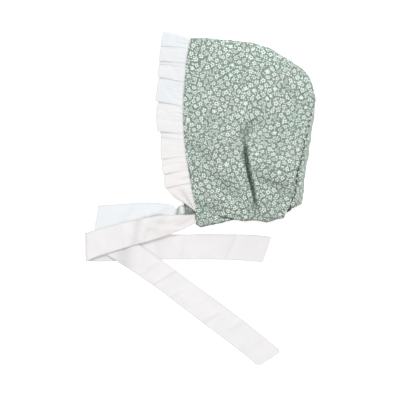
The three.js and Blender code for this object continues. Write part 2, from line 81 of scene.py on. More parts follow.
FRONT_NEAR = [
    [196.4, 224.2, 7.5],
    [195.9, 211.0, 9.0],
    [193.2, 195.4, 11.0],
    [189.7, 174.3, 13.5],
    [186.1, 153.3, 16.0],
    [184.1, 132.2, 17.6],
    [183.4, 111.2, 18.8],
    [184.0, 93.0, 20.0],
    [185.4, 76.1, 21.2],
    [187.5, 55.6, 22.8],
    [190.9, 39.3, 24.0],
]
FRONT_FAR = [
    [185.8, 217.6, 1.6],
    [184.1, 206.0, 2.0],
    [184.0, 192.0, 0.6],
    [183.2, 172.0, 0.3],
    [182.9, 152.0, 0.3],
    [182.9, 132.0, 0.3],
    [183.4, 111.0, 0.4],
    [184.4, 93.0, 0.6],
    [186.0, 76.0, 0.9],
    [188.0, 56.0, 1.4],
    [190.9, 39.7, 2.0],
]
NAPE_NEAR = [
    [196.4, 224.2, 7.5],
    [200.9, 226.8, 8.0],
    [210.5, 224.8, 9.4],
    [219.3, 223.1, 9.8],
    [225.8, 221.3, 10.6],
    [232.0, 219.8, 12.0],
    [237.6, 219.6, 12.0],
    [244.0, 221.0, 10.6],
    [251.8, 220.0, 12.6],
    [258.0, 220.4, 11.4],
    [267.0, 222.0, 12.4],
    [271.7, 220.6, 13.6],
    [277.0, 218.8, 12.6],
    [283.4, 217.4, 14.2],
    [285.1, 213.4, 15.4],
    [288.4, 209.6, 16.8],
]
NAPE_FAR = [
    [185.8, 217.6, 1.6],
    [200.0, 220.4, 0.4],
    [213.0, 218.6, 0.8],
    [226.0, 217.0, 0.2],
    [239.0, 215.8, 1.0],
    [252.0, 216.2, 0.2],
    [265.0, 215.4, 1.0],
    [278.0, 212.2, 0.3],
    [289.6, 209.8, 1.2],
    [296.8, 205.2, 1.8],
]
SWELL = {"height": 12.0, "seam": 30.0, "front": 62.0, "nape": 58.0, "front_share": 0.12}
WIDTH, HEIGHT = 115.0, 178.0

# Folds pressed into the upper panel, a line of rows each: sheet x, y, depth, half width on the side towards the face, half width towards the back.
FOLDS = {
    "branch": [
        [238.0, 142, 0.4, 5.0, 4.0],
        [242.8, 134, 4.4, 6.0, 3.2],
        [248.2, 126.4, 6.4, 6.6, 3.2],
        [255.8, 120.6, 4.2, 6.8, 4.0],
        [265.0, 116, 0.3, 7.0, 5.0],
    ],
    "back_cross": [
        [256.0, 174, 1.8, 6.0, 4.0],
        [264.0, 180, 4.5, 7.0, 4.4],
        [273.0, 184, 5.4, 8.0, 4.6],
        [283.0, 188, 4.8, 8.0, 4.6],
        [292.0, 193, 3, 7.0, 4.2],
        [297.0, 196, 0.6, 6.0, 4.0],
    ],
    "sweep_high": [
        [184.0, 146, 1.2, 6.0, 4.2],
        [190.0, 147.5, 3.3, 7.0, 4.4],
        [199.0, 151.5, 4.2, 8.0, 4.6],
        [208.0, 158, 3.9, 8.0, 5.0],
        [215.0, 164, 1.2, 8.0, 5.0],
    ],
    "sweep_low": [
        [204.0, 170, 0.6, 8.0, 6.0],
        [213.0, 177.5, 3.6, 9.0, 5.6],
        [222.0, 184, 5.1, 9.0, 5.6],
        [231.0, 191, 4.8, 9.0, 5.6],
        [240.0, 199, 1.5, 8.0, 6.0],
    ],
    "front_low": [
        [193.0, 203, 0.6, 6.0, 4.6],
        [202.0, 206, 3.9, 7.0, 4.8],
        [213.0, 208.5, 3.6, 7.0, 4.8],
        [226.0, 213, 0.6, 6.0, 5.0],
    ],
    "front_puff": [
        [203.0, 183, -0.6, 8.0, 8.0],
        [210.0, 190, -2.7, 8.0, 8.0],
        [218.0, 198, -1.2, 8.0, 8.0],
    ],
    "crown_crease": [
        [272.0, 92, 0.15, 4.0, 3.4],
        [283.0, 90.4, 1.8, 4.0, 3.4],
        [294.0, 91.4, 2, 4.0, 3.4],
        [304.0, 95.0, 0.3, 4.0, 3.4],
    ],
    "back_drape": [
        [291.0, 100, 0.3, 4.6, 5.0],
        [291.6, 112, 2.7, 4.6, 5.4],
        [291.0, 128, 3, 4.6, 5.4],
        [288.0, 146, 1.4, 4.6, 5.4],
        [286.0, 158, 0.3, 4.6, 5.4],
    ],
    "back_drape_inner": [
        [277.0, 104, 0.15, 5.0, 5.0],
        [276.0, 120, 1.7, 5.0, 5.0],
        [274.6, 138, 1.7, 5.0, 5.0],
        [272.0, 152, 0.15, 5.0, 5.0],
    ],
    "mid_dent": [
        [263.0, 138, 0.15, 6.0, 5.0],
        [269.0, 143, 2.2, 6.0, 5.0],
        [277.0, 145, 1.7, 6.0, 5.0],
        [284.0, 144, 0.15, 6.0, 5.0],
    ],
    "back_puff": [
        [264.0, 161, -0.9, 8.0, 8.0],
        [274.0, 166, -3.6, 8.0, 8.0],
        [285.0, 172, -1.5, 8.0, 8.0],
    ],
}

# A crease in the nape's hem, in the same columns.
HEM_FOLD = [
    [215.0, 214.6, 0.2, 0.9, 0.7],
    [219.5, 216.2, 2.6, 0.9, 0.6],
    [224.0, 217.1, 4.2, 0.8, 0.6],
    [229.0, 218.0, 4.6, 0.8, 0.6],
    [234.0, 219.0, 3.8, 0.8, 0.6],
    [238.5, 219.9, 2.4, 0.8, 0.6],
    [243.0, 220.6, 0.3, 0.9, 0.7],
]

# The deep tuck up from the nape, from its soft start down: sheet x, y, depth, lap of its face-side lip over it, reach of the slope behind it.
TUCK = [
    [240.4, 120, 0.0, 0.0, 6.6],
    [241.0, 127, 1.8, 0.0, 6.4],
    [242.2, 135, 3.0, 0.1, 6.0],
    [243.6, 144, 5.0, 0.4, 6.0],
    [243.6, 151, 7.0, 0.7, 6.8],
    [243.8, 158, 8.6, 0.9, 7.6],
    [245.7, 169, 9.4, 0.9, 8.2],
    [248.9, 183, 8.0, 0.9, 7.8],
    [252.1, 195, 6.8, 0.7, 6.4],
    [254.6, 204, 5.4, 0.4, 5.2],
    [256.4, 210.5, 2.6, 0.1, 4.6],
    [256.8, 216, 0.0, 0.0, 4.0],
]

# Ruffle over the upper panel, one row a pleat lip from the forehead down: seam y, outer x, outer y, outer x just below the lip, lip height, how far
# the lip laps over the cloth below it.
PLEATS_NEAR = [
    [47.6, 160.7, 45.6, 160.6, 2.0, 2.4],
    [62.8, 158.9, 60.6, 160.0, 2.4, 3.6],
    [66.0, 159.6, 63.9, 159.1, 1.4, 1.2],
    [81.9, 157.7, 76.3, 159.1, 2.6, 4.4],
    [106.0, 155.3, 100.2, 158.3, 3.0, 5.4],
    [120.8, 155.9, 117.0, 156.0, 1.2, 0.6],
    [133.8, 157.5, 130.8, 160.7, 2.8, 4.6],
    [140.0, 160.9, 137.2, 160.7, 1.4, 1.4],
    [155.6, 160.9, 158.9, 162.3, 2.4, 3.6],
    [161.0, 162.3, 165.0, 162.1, 1.0, 0.6],
    [168.6, 162.7, 174.2, 164.5, 2.6, 3.8],
    [182.4, 164.6, 187.8, 166.3, 3.0, 4.6],
]
# Its tapered end below the last lip: seam y, outer x, outer y, height of the rolled outer edge.
TAPER_NEAR = [
    [184.6, 167.4, 190.2, 0.2],
    [189.6, 170.2, 193.4, 1.4],
    [194.6, 174.2, 197.6, 1.8],
    [199.4, 179.6, 200.8, 1.8],
    [204.0, 184.9, 203.4, 1.6],
    [208.6, 190.8, 207.4, 1.2],
    [211.8, 195.2, 210.9, 0.6],
]
OUTER_DROP = [[40, 9.5], [75, 8.0], [110, 6.8], [150, 5.2], [185, 3.6], [212, 1.0]]
# Ruffle under the lower panel, on the surface: seam y, outer x, outer y, height of the wave.
WAVES_FAR = [
    [46.0, 162.6, 42.0, 0.4],
    [57.0, 162.0, 55.0, 3.0],
    [66.0, 161.8, 65.0, 0.2],
    [77.0, 161.0, 77.0, 2.8],
    [87.0, 160.8, 88.0, 0.0],
    [99.0, 160.2, 100.0, 3.0],
    [110.0, 160.2, 111.0, 0.0],
    [121.0, 160.0, 122.0, 2.6],
    [131.0, 160.2, 132.0, 0.2],
    [142.0, 162.2, 144.0, 2.8],
    [152.0, 163.4, 154.0, 0.0],
    [163.0, 164.4, 165.0, 2.4],
    [173.0, 166.2, 174.4, 0.2],
    [183.0, 169.4, 183.0, 2.0],
    [192.0, 174.6, 191.0, 0.4],
    [200.0, 180.6, 199.6, 0.8],
    [203.6, 183.2, 203.4, 0.4],
]

# Ties: xu, yu upper edge, xl, yl lower edge, z of the middle.
TIE_NEAR = [
    [195.2, 214.4, 195.4, 223.4, 6.3],
    [190.0, 214.8, 190.4, 225.8, 6.1],
    [181.0, 214.9, 182.4, 229.8, 5.5],
    [170.0, 214.9, 172.4, 233.5, 4.9],
    [157.0, 215.9, 160.4, 237.7, 4.3],
    [143.2, 218.2, 147.6, 241.7, 4.0],
    [130.0, 221.0, 135.2, 245.0, 3.9],
    [116.6, 224.1, 122.4, 248.9, 4.1],
    [101.0, 228.2, 107.6, 253.3, 4.05],
    [91.0, 230.9, 93.6, 258.0, 3.7],
]
TIE_NEAR_TURN = [84.3, 232.6, 84.9, 261.3]
TIE_NEAR_BACK = [
    [91.0, 233.0, 92.0, 261.8, 0.5],
    [105.0, 233.4, 106.0, 261.8, 0.5],
    [125.0, 234.0, 125.0, 261.2, 0.5],
    [150.0, 234.6, 150.0, 260.2, 0.5],
    [173.0, 234.6, 172.0, 259.8, 0.5],
    [196.0, 234.2, 194.0, 259.8, 0.5],
    [218.0, 234.2, 215.0, 259.9, 0.5],
    [240.0, 234.4, 235.0, 260.3, 0.5],
    [258.0, 235.2, 251.0, 261.6, 0.5],
    [271.7, 236.8, 263.4, 262.5, 0.5],
]
TIE_FAR = [
    [185.4, 205.2, 185.6, 214.9, 2.0],
    [182.6, 205.4, 182.9, 215.2, 2.0],
    [180.0, 206.0, 180.4, 216.0, 1.9],
    [177.8, 207.3, 178.2, 217.0, 1.8],
    [176.0, 208.8, 176.4, 218.2, 1.8],
    [174.6, 206.6, 175.0, 219.0, 1.8],
    [172.6, 204.7, 173.2, 219.8, 1.8],
    [168.0, 203.8, 169.0, 221.6, 1.9],
    [158.0, 202.6, 159.6, 226.2, 1.2],
    [144.0, 202.2, 146.0, 229.0, 1.2],
    [128.0, 203.2, 129.6, 230.2, 2.2],
    [113.0, 204.3, 113.0, 231.4, 2.83],
    [103.6, 204.9, 100.4, 232.8, 3.01],
]
TIE_FAR_TURN = [97.5, 205.4, 93.2, 233.6]
TIE_FAR_BACK = [
    [101.4, 209.6, 94.6, 237.6, 1.75],
    [108.4, 219.2, 97.4, 245.2, 1.75],
    [117.6, 228.8, 104.4, 253.4, 1.8],
    [130.4, 238.8, 116.2, 261.2, 2.1],
    [143.0, 247.2, 128.4, 269.1, 1.9],
    [158.6, 258.3, 143.4, 279.3, 1.75],
    [174.6, 269.8, 159.0, 290.1, 0.9],
    [190.4, 281.6, 174.8, 302.2, 0.5],
    [213.4, 298.2, 197.6, 319.6, 0.5],
    [237.0, 315.8, 221.0, 337.2, 0.5],
    [260.6, 334.4, 243.6, 354.6, 0.5],
    [276.0, 347.0, 254.8, 363.9, 0.5],
    [281.9, 352.0, 259.4, 367.1, 0.5],
]
# Creases across the ties: along (mm from the bonnet), across (0 upper edge, 1 lower edge) at both ends, height, half width in mm.
# Creases across the ties: run, share across, run, share across, height, half width, all in mm but the shares.
CREASES_NEAR = [
    [4, 0.30, 14, 0.80, -0.9, 3.2],
    [12, 0.05, 30, 0.30, 0.9, 3.4],
    [20, 0.85, 40, 0.55, 0.8, 3.6],
    [34, 0.05, 46, 0.45, 1.1, 3.0],
    [42, 0.30, 54, 0.80, -0.9, 4.0],
    [50, 0.10, 58, 0.85, 1.2, 3.0],
    [58, 0.05, 66, 0.95, -0.6, 3.0],
    [72, 0.10, 74, 0.90, 0.5, 3.4],
    [212, 0.0, 210, 1.0, 0.7, 1.2],
    [236, 0.2, 232, 0.8, 0.4, 3.0],
    [262, 0.0, 256, 1.0, 0.8, 1.3],
]
CREASES_FAR = [
    [18, 0.15, 40, 0.45, 0.9, 3.6],
    [34, 0.40, 52, 0.75, 0.7, 3.6],
    [50, 0.10, 62, 0.60, -0.6, 4.0],
    [168, 0.2, 161, 0.9, 0.5, 2.6],
    [187, 0.0, 178, 0.9, 0.8, 1.6],
    [204, 0.5, 199, 1.0, 0.5, 2.0],
    [229, 0.1, 226, 0.5, 0.6, 3.0],
    [247, 0.35, 240, 1.0, 0.7, 1.5],
    [272, 0.0, 266, 0.6, 0.6, 2.2],
]
# Painted shade on the ties, where their cloth is painted a little darker: in the hollows of their creases and where one
# layer lies in the shadow of another. Columns: run, share, run, share, strength, half width.
SHADES_NEAR = [
    [4, 0.40, 17, 0.62, 0.11, 3.6],
    [30, 0.15, 43, 0.60, 0.09, 3.0],
    [46, 0.30, 55, 0.92, 0.08, 3.2],
    [57, 0.05, 66, 0.95, 0.16, 3.6],
    [76, 0.10, 80, 0.90, 0.03, 6.0],
    [113, 0.0, 113, 1.0, 0.10, 1.3],
    [190, 0.1, 186, 0.9, 0.03, 5.0],
    [214.5, 0.0, 212.5, 1.0, 0.05, 1.5],
    [264.5, 0.0, 258.5, 1.0, 0.06, 1.6],
    [286, 0.1, 280, 0.9, 0.02, 6.0],
    [118, 0.86, 146, 0.84, 0.10, 4.0],
    [175, 0.50, 296, 0.50, 0.04, 22.0],
]
SHADES_FAR = [
    [52, 0.10, 64, 0.60, 0.03, 4.0],
    [132, 0.40, 142, 0.98, 0.26, 9.0],
    [152, 0.10, 160, 0.50, 0.03, 6.0],
    [170.5, 0.2, 163.5, 0.9, 0.04, 2.4],
    [189.5, 0.0, 180.5, 0.9, 0.06, 1.6],
    [206, 0.5, 201.0, 1.0, 0.03, 2.0],
    [249.5, 0.35, 242.5, 1.0, 0.05, 1.6],
    [275, 0.0, 268.5, 0.6, 0.03, 3.0],
    [300, 0.2, 296, 0.8, 0.02, 6.0],
]


# ------------------------------------------------------------------ helpers
def place(p):
    """Sheet x, y and height in mm to the frame, in mm."""
    p = np.asarray(p, float)
    return np.stack([p[..., 0] - DATUM[0], DATUM[1] - p[..., 1], p[..., 2]], -1)


def clamp(v, a=0.0, b=1.0):
    return np.minimum(b, np.maximum(a, v))


def ease(v):
    return 1 - (1 - clamp(v)) ** 2


def smooth(v):
    v = clamp(v)
    return v * v * (3 - 2 * v)


def through(rows, s, st=None):
    """A smooth line through rows at share s of its run, as in the model's source."""
    rows = np.asarray(rows, float)
    s = np.asarray(s, float)
    n = len(rows) - 1
    st = np.arange(n + 1) / n if st is None else np.asarray(st, float)
    k = np.clip(np.searchsorted(st, s, side="left") - 1, 0, n - 1)
    h = st[k + 1] - st[k]
    f = clamp((s - st[k]) / h)[..., None]
    a, b, c, d = rows[np.maximum(k - 1, 0)], rows[k], rows[k + 1], rows[np.minimum(k + 2, n)]
    sa = np.where(k > 0, st[np.maximum(k - 1, 0)], 2 * st[0] - st[1])
    sd = np.where(k + 2 <= n, st[np.minimum(k + 2, n)], 2 * st[n] - st[n - 1])
    m0 = (c - a) * (h / (st[k + 1] - sa))[..., None]
    m1 = (d - b) * (h / (sd - st[k]))[..., None]
    return (
        (2 * f**3 - 3 * f**2 + 1) * b
        + (f**3 - 2 * f**2 + f) * m0
        + (-2 * f**3 + 3 * f**2) * c
        + (f**3 - f**2) * m1
    )


def pace(rows, dims=2):
    rows = np.asarray(rows, float)
    d = np.linalg.norm(np.diff(rows[:, :dims], axis=0), axis=1)
    out = np.concatenate([[0], np.cumsum(d)])
    return out / out[-1]


def line(rows):
    st = pace(rows)
    return lambda s: through(rows, s, st)


class Noise:
    """Smooth noise from -1 to 1 over the plane, the same each run."""

    def __init__(self, seed, n=128):
        a = np.random.RandomState(seed).uniform(0, 2 * np.pi, (n, n))
        self.gx, self.gy, self.n = np.cos(a), np.sin(a), n

    def __call__(self, x, y=0.37):
        x, y = np.broadcast_arrays(np.asarray(x, float), np.asarray(y, float))
        x, y = 0.819 * x - 0.574 * y, 0.574 * x + 0.819 * y  # so that its rows don't follow the cloth's
        i, j = np.floor(x).astype(int), np.floor(y).astype(int)
        fx, fy = x - i, y - j
        sx, sy = (t**3 * (t * (t * 6 - 15) + 10) for t in (fx, fy))
        n = self.n

        def g(di, dj):
            ii, jj = (i + di) % n, (j + dj) % n
            return self.gx[ii, jj] * (fx - di) + self.gy[ii, jj] * (fy - dj)

        a = g(0, 0) * (1 - sx) + g(1, 0) * sx
        b = g(0, 1) * (1 - sx) + g(1, 1) * sx
        return 1.6 * (a * (1 - sy) + b * sy)


def grid_lines(length, step, rim=0.6):
    """Shares of a run of that length in mm: a fine rim at both ends and about that step between."""
    n = max(4, int(round((length - 2 * rim) / step)))
    inner = np.linspace(rim, length - rim, n + 1)
    ends = np.array([0.0, 0.06, 0.2, 0.38]) * rim / 0.6
    return np.concatenate([ends, inner, length - ends[::-1]]) / length


def normals(p):
    du, dv = np.empty_like(p), np.empty_like(p)
    du[1:-1] = p[2:] - p[:-2]
    du[0], du[-1] = p[1] - p[0], p[-1] - p[-2]
    dv[:, 1:-1] = p[:, 2:] - p[:, :-2]
    dv[:, 0], dv[:, -1] = p[:, 1] - p[:, 0], p[:, -1] - p[:, -2]
    n = np.cross(du, dv)
    return n / np.maximum(np.linalg.norm(n, axis=-1, keepdims=True), 1e-12)


def run_lengths(p, axis):
    d = np.linalg.norm(np.diff(p, axis=axis), axis=-1)
    c = np.cumsum(d, axis=axis)
    pad = np.zeros_like(np.take(c, [0], axis=axis))
    return np.concatenate([pad, c], axis=axis)


def edge_distance(p):
    """Distance in mm of each grid point to the nearest of the four edges, along the grid."""
    lu, lv = run_lengths(p, 0), run_lengths(p, 1)
    return np.minimum.reduce([lu, lu[-1:] - lu, lv, lv[:, -1:] - lv])


def shell(name, mid, thick, cloth_uv, back_uv=None, bake=None, floor=None, flip=False, rim_mm=None, painted_shade_share=None, two_sided=False, inner="back"):
    """A closed cloth shell round the grid mid (nu, nv, 3) in frame mm: its face on the side of the grid's normals,
    rounded off at the rim. cloth_uv is the cloth's own place in mm. bake gives the grid's place from 0 to 1 on the face
    half of the bake map. rim_mm is the distance in mm from the edges that are turned under, along which the material
    paints shade; the shade share after it says how much darker, from 0 to 1, the material paints the cloth. inner says
    which of the two sides is the wrong side of the cloth."""
    nu, nv = mid.shape[:2]
    n = normals(mid) * (-1 if flip else 1)
    t = np.broadcast_to(np.asarray(thick, float), (nu, nv)).copy()
    r = t / 2
    d = edge_distance(mid)
    round_off = np.sqrt(np.maximum(0.0, 1 - (1 - clamp(d / np.maximum(r, 1e-6))) ** 2))
    h = r * (0.12 + 0.88 * round_off)
    face, back = mid + n * h[..., None], mid - n * h[..., None]
    if floor is not None:
        face[..., 2] = np.maximum(face[..., 2], floor)
        back[..., 2] = np.maximum(back[..., 2], floor)
    verts = np.concatenate([face.reshape(-1, 3), back.reshape(-1, 3)]) * MM
    ids = np.arange(nu * nv).reshape(nu, nv)
    top = np.stack([ids[:-1, :-1], ids[1:, :-1], ids[1:, 1:], ids[:-1, 1:]], -1).reshape(-1, 4)
    low = top[:, ::-1] + nu * nv
    m = nu * nv

    def strip(a):  # a rim line walked so that the cloth's face lies on its left
        return np.stack([a[:-1], a[:-1] + m, a[1:] + m, a[1:]], -1)

    rim = np.concatenate([strip(ids[:, 0]), strip(ids[-1, :]), strip(ids[::-1, -1]), strip(ids[0, ::-1])])
    quads = np.concatenate([top, low, rim])
    if flip:
        quads = quads[:, ::-1]
    me = bpy.data.meshes.new(name)
    me.vertices.add(len(verts))
    me.vertices.foreach_set("co", verts.astype(np.float32).ravel())
    me.loops.add(quads.size)
    me.loops.foreach_set("vertex_index", quads.astype(np.int32).ravel())
    me.polygons.add(len(quads))
    me.polygons.foreach_set("loop_start", np.arange(0, quads.size, 4, dtype=np.int32))
    me.polygons.foreach_set("use_smooth", np.ones(len(quads), bool))
    me.update(calc_edges=True)
    me.validate()
    fuv = np.asarray(cloth_uv, float).reshape(-1, 2)
    buv = fuv + np.array([431.0, 227.0]) if back_uv is None else np.asarray(back_uv, float).reshape(-1, 2)
    both = np.concatenate([fuv, buv])
    loop_uv = both[quads.ravel()].copy()
    # a rim face takes the face side's place on all four corners
    k = 4 * (len(top) + len(low))
    loop_uv[k:] = fuv[quads.ravel()[k:] % m]
    layer = me.uv_layers.new(name="Cloth", do_init=False)
    layer.uv.foreach_set("vector", loop_uv.astype(np.float32).ravel())
    if bake is not None:
        fb = np.asarray(bake, float).reshape(-1, 2)
        face_at = np.stack([0.012 + 0.476 * fb[:, 0], 0.012 + 0.976 * fb[:, 1]], -1)
        back_at = np.stack([0.512 + 0.476 * fb[:, 0], 0.012 + 0.976 * fb[:, 1]], -1)
        at = np.concatenate([face_at, back_at])[quads.ravel()]
        rim_ids = quads.ravel()[k:]
        out = face_at[rim_ids % m] - np.array([0.25, 0.5])
        side = np.where(rim_ids >= m, 0.007, 0.0)[:, None]
        at[k:] = face_at[rim_ids % m] + np.sign(out) * side * (
            np.abs(np.stack([fb[rim_ids % m, 0] - 0.5, fb[rim_ids % m, 1] - 0.5], -1)) > 0.4999
        )
        bl = me.uv_layers.new(name="OFBake", do_init=False)
        bl.uv.foreach_set("vector", at.astype(np.float32).ravel())
    me.uv_layers.active = me.uv_layers["Cloth"]
    rim_d = np.minimum(d if rim_mm is None else rim_mm, 9.0).reshape(-1)
    at_rim = me.attributes.new("Rim", "FLOAT", "POINT")
    at_rim.data.foreach_set("value", np.concatenate([rim_d, rim_d]).astype(np.float32))
    # painted shade: how much darker the material paints each point, on the face only or on both sides
    shade_at = np.zeros(m) if painted_shade_share is None else np.broadcast_to(painted_shade_share, (nu, nv)).reshape(-1)
    at_shade = me.attributes.new("PaintedShade", "FLOAT", "POINT")
    at_shade.data.foreach_set("value", np.concatenate([shade_at, shade_at if two_sided else 0 * shade_at]).astype(np.float32))
    at_inner = me.attributes.new("Inner", "FLOAT", "POINT")
    at_inner.data.foreach_set("value", np.repeat([inner == "face", inner == "back"], m).astype(np.float32))
    ob = bpy.data.objects.new(name, me)
    bpy.context.scene.collection.objects.link(ob)
    return ob


# ------------------------------------------------------------------ side panels
SN, SO, SF = SEAM[:, [0, 1, 2]], SEAM[:, [3, 4]], SEAM[:, [5, 6, 7]]
near_top, near_back = line(SN[: SEAM_CORNER + 1]), line(SN[SEAM_CORNER:][::-1])
far_top, far_back = line(SF[: SEAM_CORNER + 1]), line(SF[SEAM_CORNER:][::-1])
front_near, front_far = line(FRONT_NEAR), line(FRONT_FAR)
nape_near, nape_far = line(NAPE_NEAR), line(NAPE_FAR)


def patch(front, back, nape, top, u, v):
    """A patch spanned by four edges: u from the front to the back, v from the nape to the crown."""
    U, V = u[:, None, None], v[None, :, None]
    f, b, n, t = front(v)[None], back(v)[None], nape(u)[:, None], top(u)[:, None]
    c00, c01, c10, c11 = front(0.0), front(1.0), back(0.0), back(1.0)
    return (
        (1 - U) * f
        + U * b
        + (1 - V) * n
        + V * t
        - ((1 - U) * (1 - V) * c00 + (1 - U) * V * c01 + U * (1 - V) * c10 + U * V * c11)
    )


def fold_field(x, y, rows, cap=3.2):
    """Depth at sheet points of one fold with a different half width on either side."""
    rows = np.asarray(rows, float)
    best = np.full(x.shape, 1e9)
    depth = np.zeros(x.shape)
    for a, b in zip(rows[:-1], rows[1:]):
        ab = b[:2] - a[:2]
        f = clamp(((x - a[0]) * ab[0] + (y - a[1]) * ab[1]) / (ab @ ab))
        dx, dy = x - a[0] - f * ab[0], y - a[1] - f * ab[1]
        d = np.hypot(dx, dy)
        # which side: left of the walk down the sheet is towards the back of the head
        side = dx * ab[1] - dy * ab[0]
        w = np.where(side < 0, a[3] + f * (b[3] - a[3]), a[4] + f * (b[4] - a[4]))
        val = (a[2] + f * (b[2] - a[2])) * np.exp(-((d / w) ** 2))
        nearer = d < best
        depth = np.where(nearer, val, depth)
        best = np.minimum(best, d)
    return depth


big, mid_noise, fine, pucker = Noise(11), Noise(12), Noise(13), Noise(14)


def tuck(x, y):
    """Lift and shift in plan, mm, that the tuck gives the cloth at sheet points."""
    rows = np.array(TUCK, float)
    rows = through(rows, np.linspace(0, 1, 90), pace(rows))
    rows[:, 2:4] = np.maximum(rows[:, 2:4], 0)
    best = np.full(x.shape, 1e9)
    dist, depth, lap, reach = (np.zeros(x.shape) for _ in range(4))
    nx, ny = np.zeros(x.shape), np.zeros(x.shape)
    for a, b in zip(rows[:-1], rows[1:]):
        ab = b[:2] - a[:2]
        size = np.hypot(*ab)
        f = clamp(((x - a[0]) * ab[0] + (y - a[1]) * ab[1]) / size**2)
        dx, dy = x - a[0] - f * ab[0], y - a[1] - f * ab[1]
        d = np.hypot(dx, dy)
        m = d < best
        side = np.where(dx * ab[1] - dy * ab[0] > 0, 1.0, -1.0)  # + towards the back of the head
        best = np.where(m, d, best)
        dist = np.where(m, side * d, dist)
        depth = np.where(m, a[2] + f * (b[2] - a[2]), depth)
        lap = np.where(m, a[3] + f * (b[3] - a[3]), lap)
        reach = np.where(m, a[4] + f * (b[4] - a[4]), reach)
        nx, ny = np.where(m, ab[1] / size, nx), np.where(m, -ab[0] / size, ny)
    share = clamp(depth / 6)
    front = 1.7 + 3.3 * (1 - share)
    wall = 1 - smooth((dist - 0.3 - 1.1 * share) / (3.4 + 0.6 * share))
    slope = 0.5 + 0.5 * np.cos(np.pi * clamp(dist / reach))
    drop = np.where(dist < 0, smooth(1 + dist / front), slope + (wall - slope) * 0.7 * share)
    lift = -depth * drop
    lift += share * 1.1 * np.exp(-(((dist + 3.6) / 2.4) ** 2))
    lift += share * 1.3 * np.exp(-(((dist - 8.0) / 5.0) ** 2))
    push = lap * np.exp(-(((dist + 1.2) / 0.85) ** 2)) - 0.45 * lap * np.exp(-(((dist - 0.1) / 0.7) ** 2))
    # how far the cloth's print is drawn down into the tuck on either side
    drawn_in = share * np.sign(dist) * 0.8 * smooth(np.abs(dist) / 3.4) * (1 - smooth((np.abs(dist) - 3.4) / 26))
    # painted shade: how much darker the tuck is painted, from a ragged sharp edge at its lip over a width that grows
    # with its depth
    ragged = dist + 0.55 * fine(y / 2.6, x / 40 + 3.0) + 0.35 * mid_noise(y / 6.0 + 4.0, 0.6)
    wide = clamp((depth - 4.0) / 4.0)
    painted_shade = (0.25 * clamp(depth / 4) + 0.75 * clamp((depth - 3.2) / 2.6)) * smooth((ragged + 0.5) / 0.8) * (1 - smooth((ragged - 1.2 - 2.9 * wide) / (1.2 + 1.4 * wide)))
    return lift, push * nx, push * ny, drawn_in, painted_shade


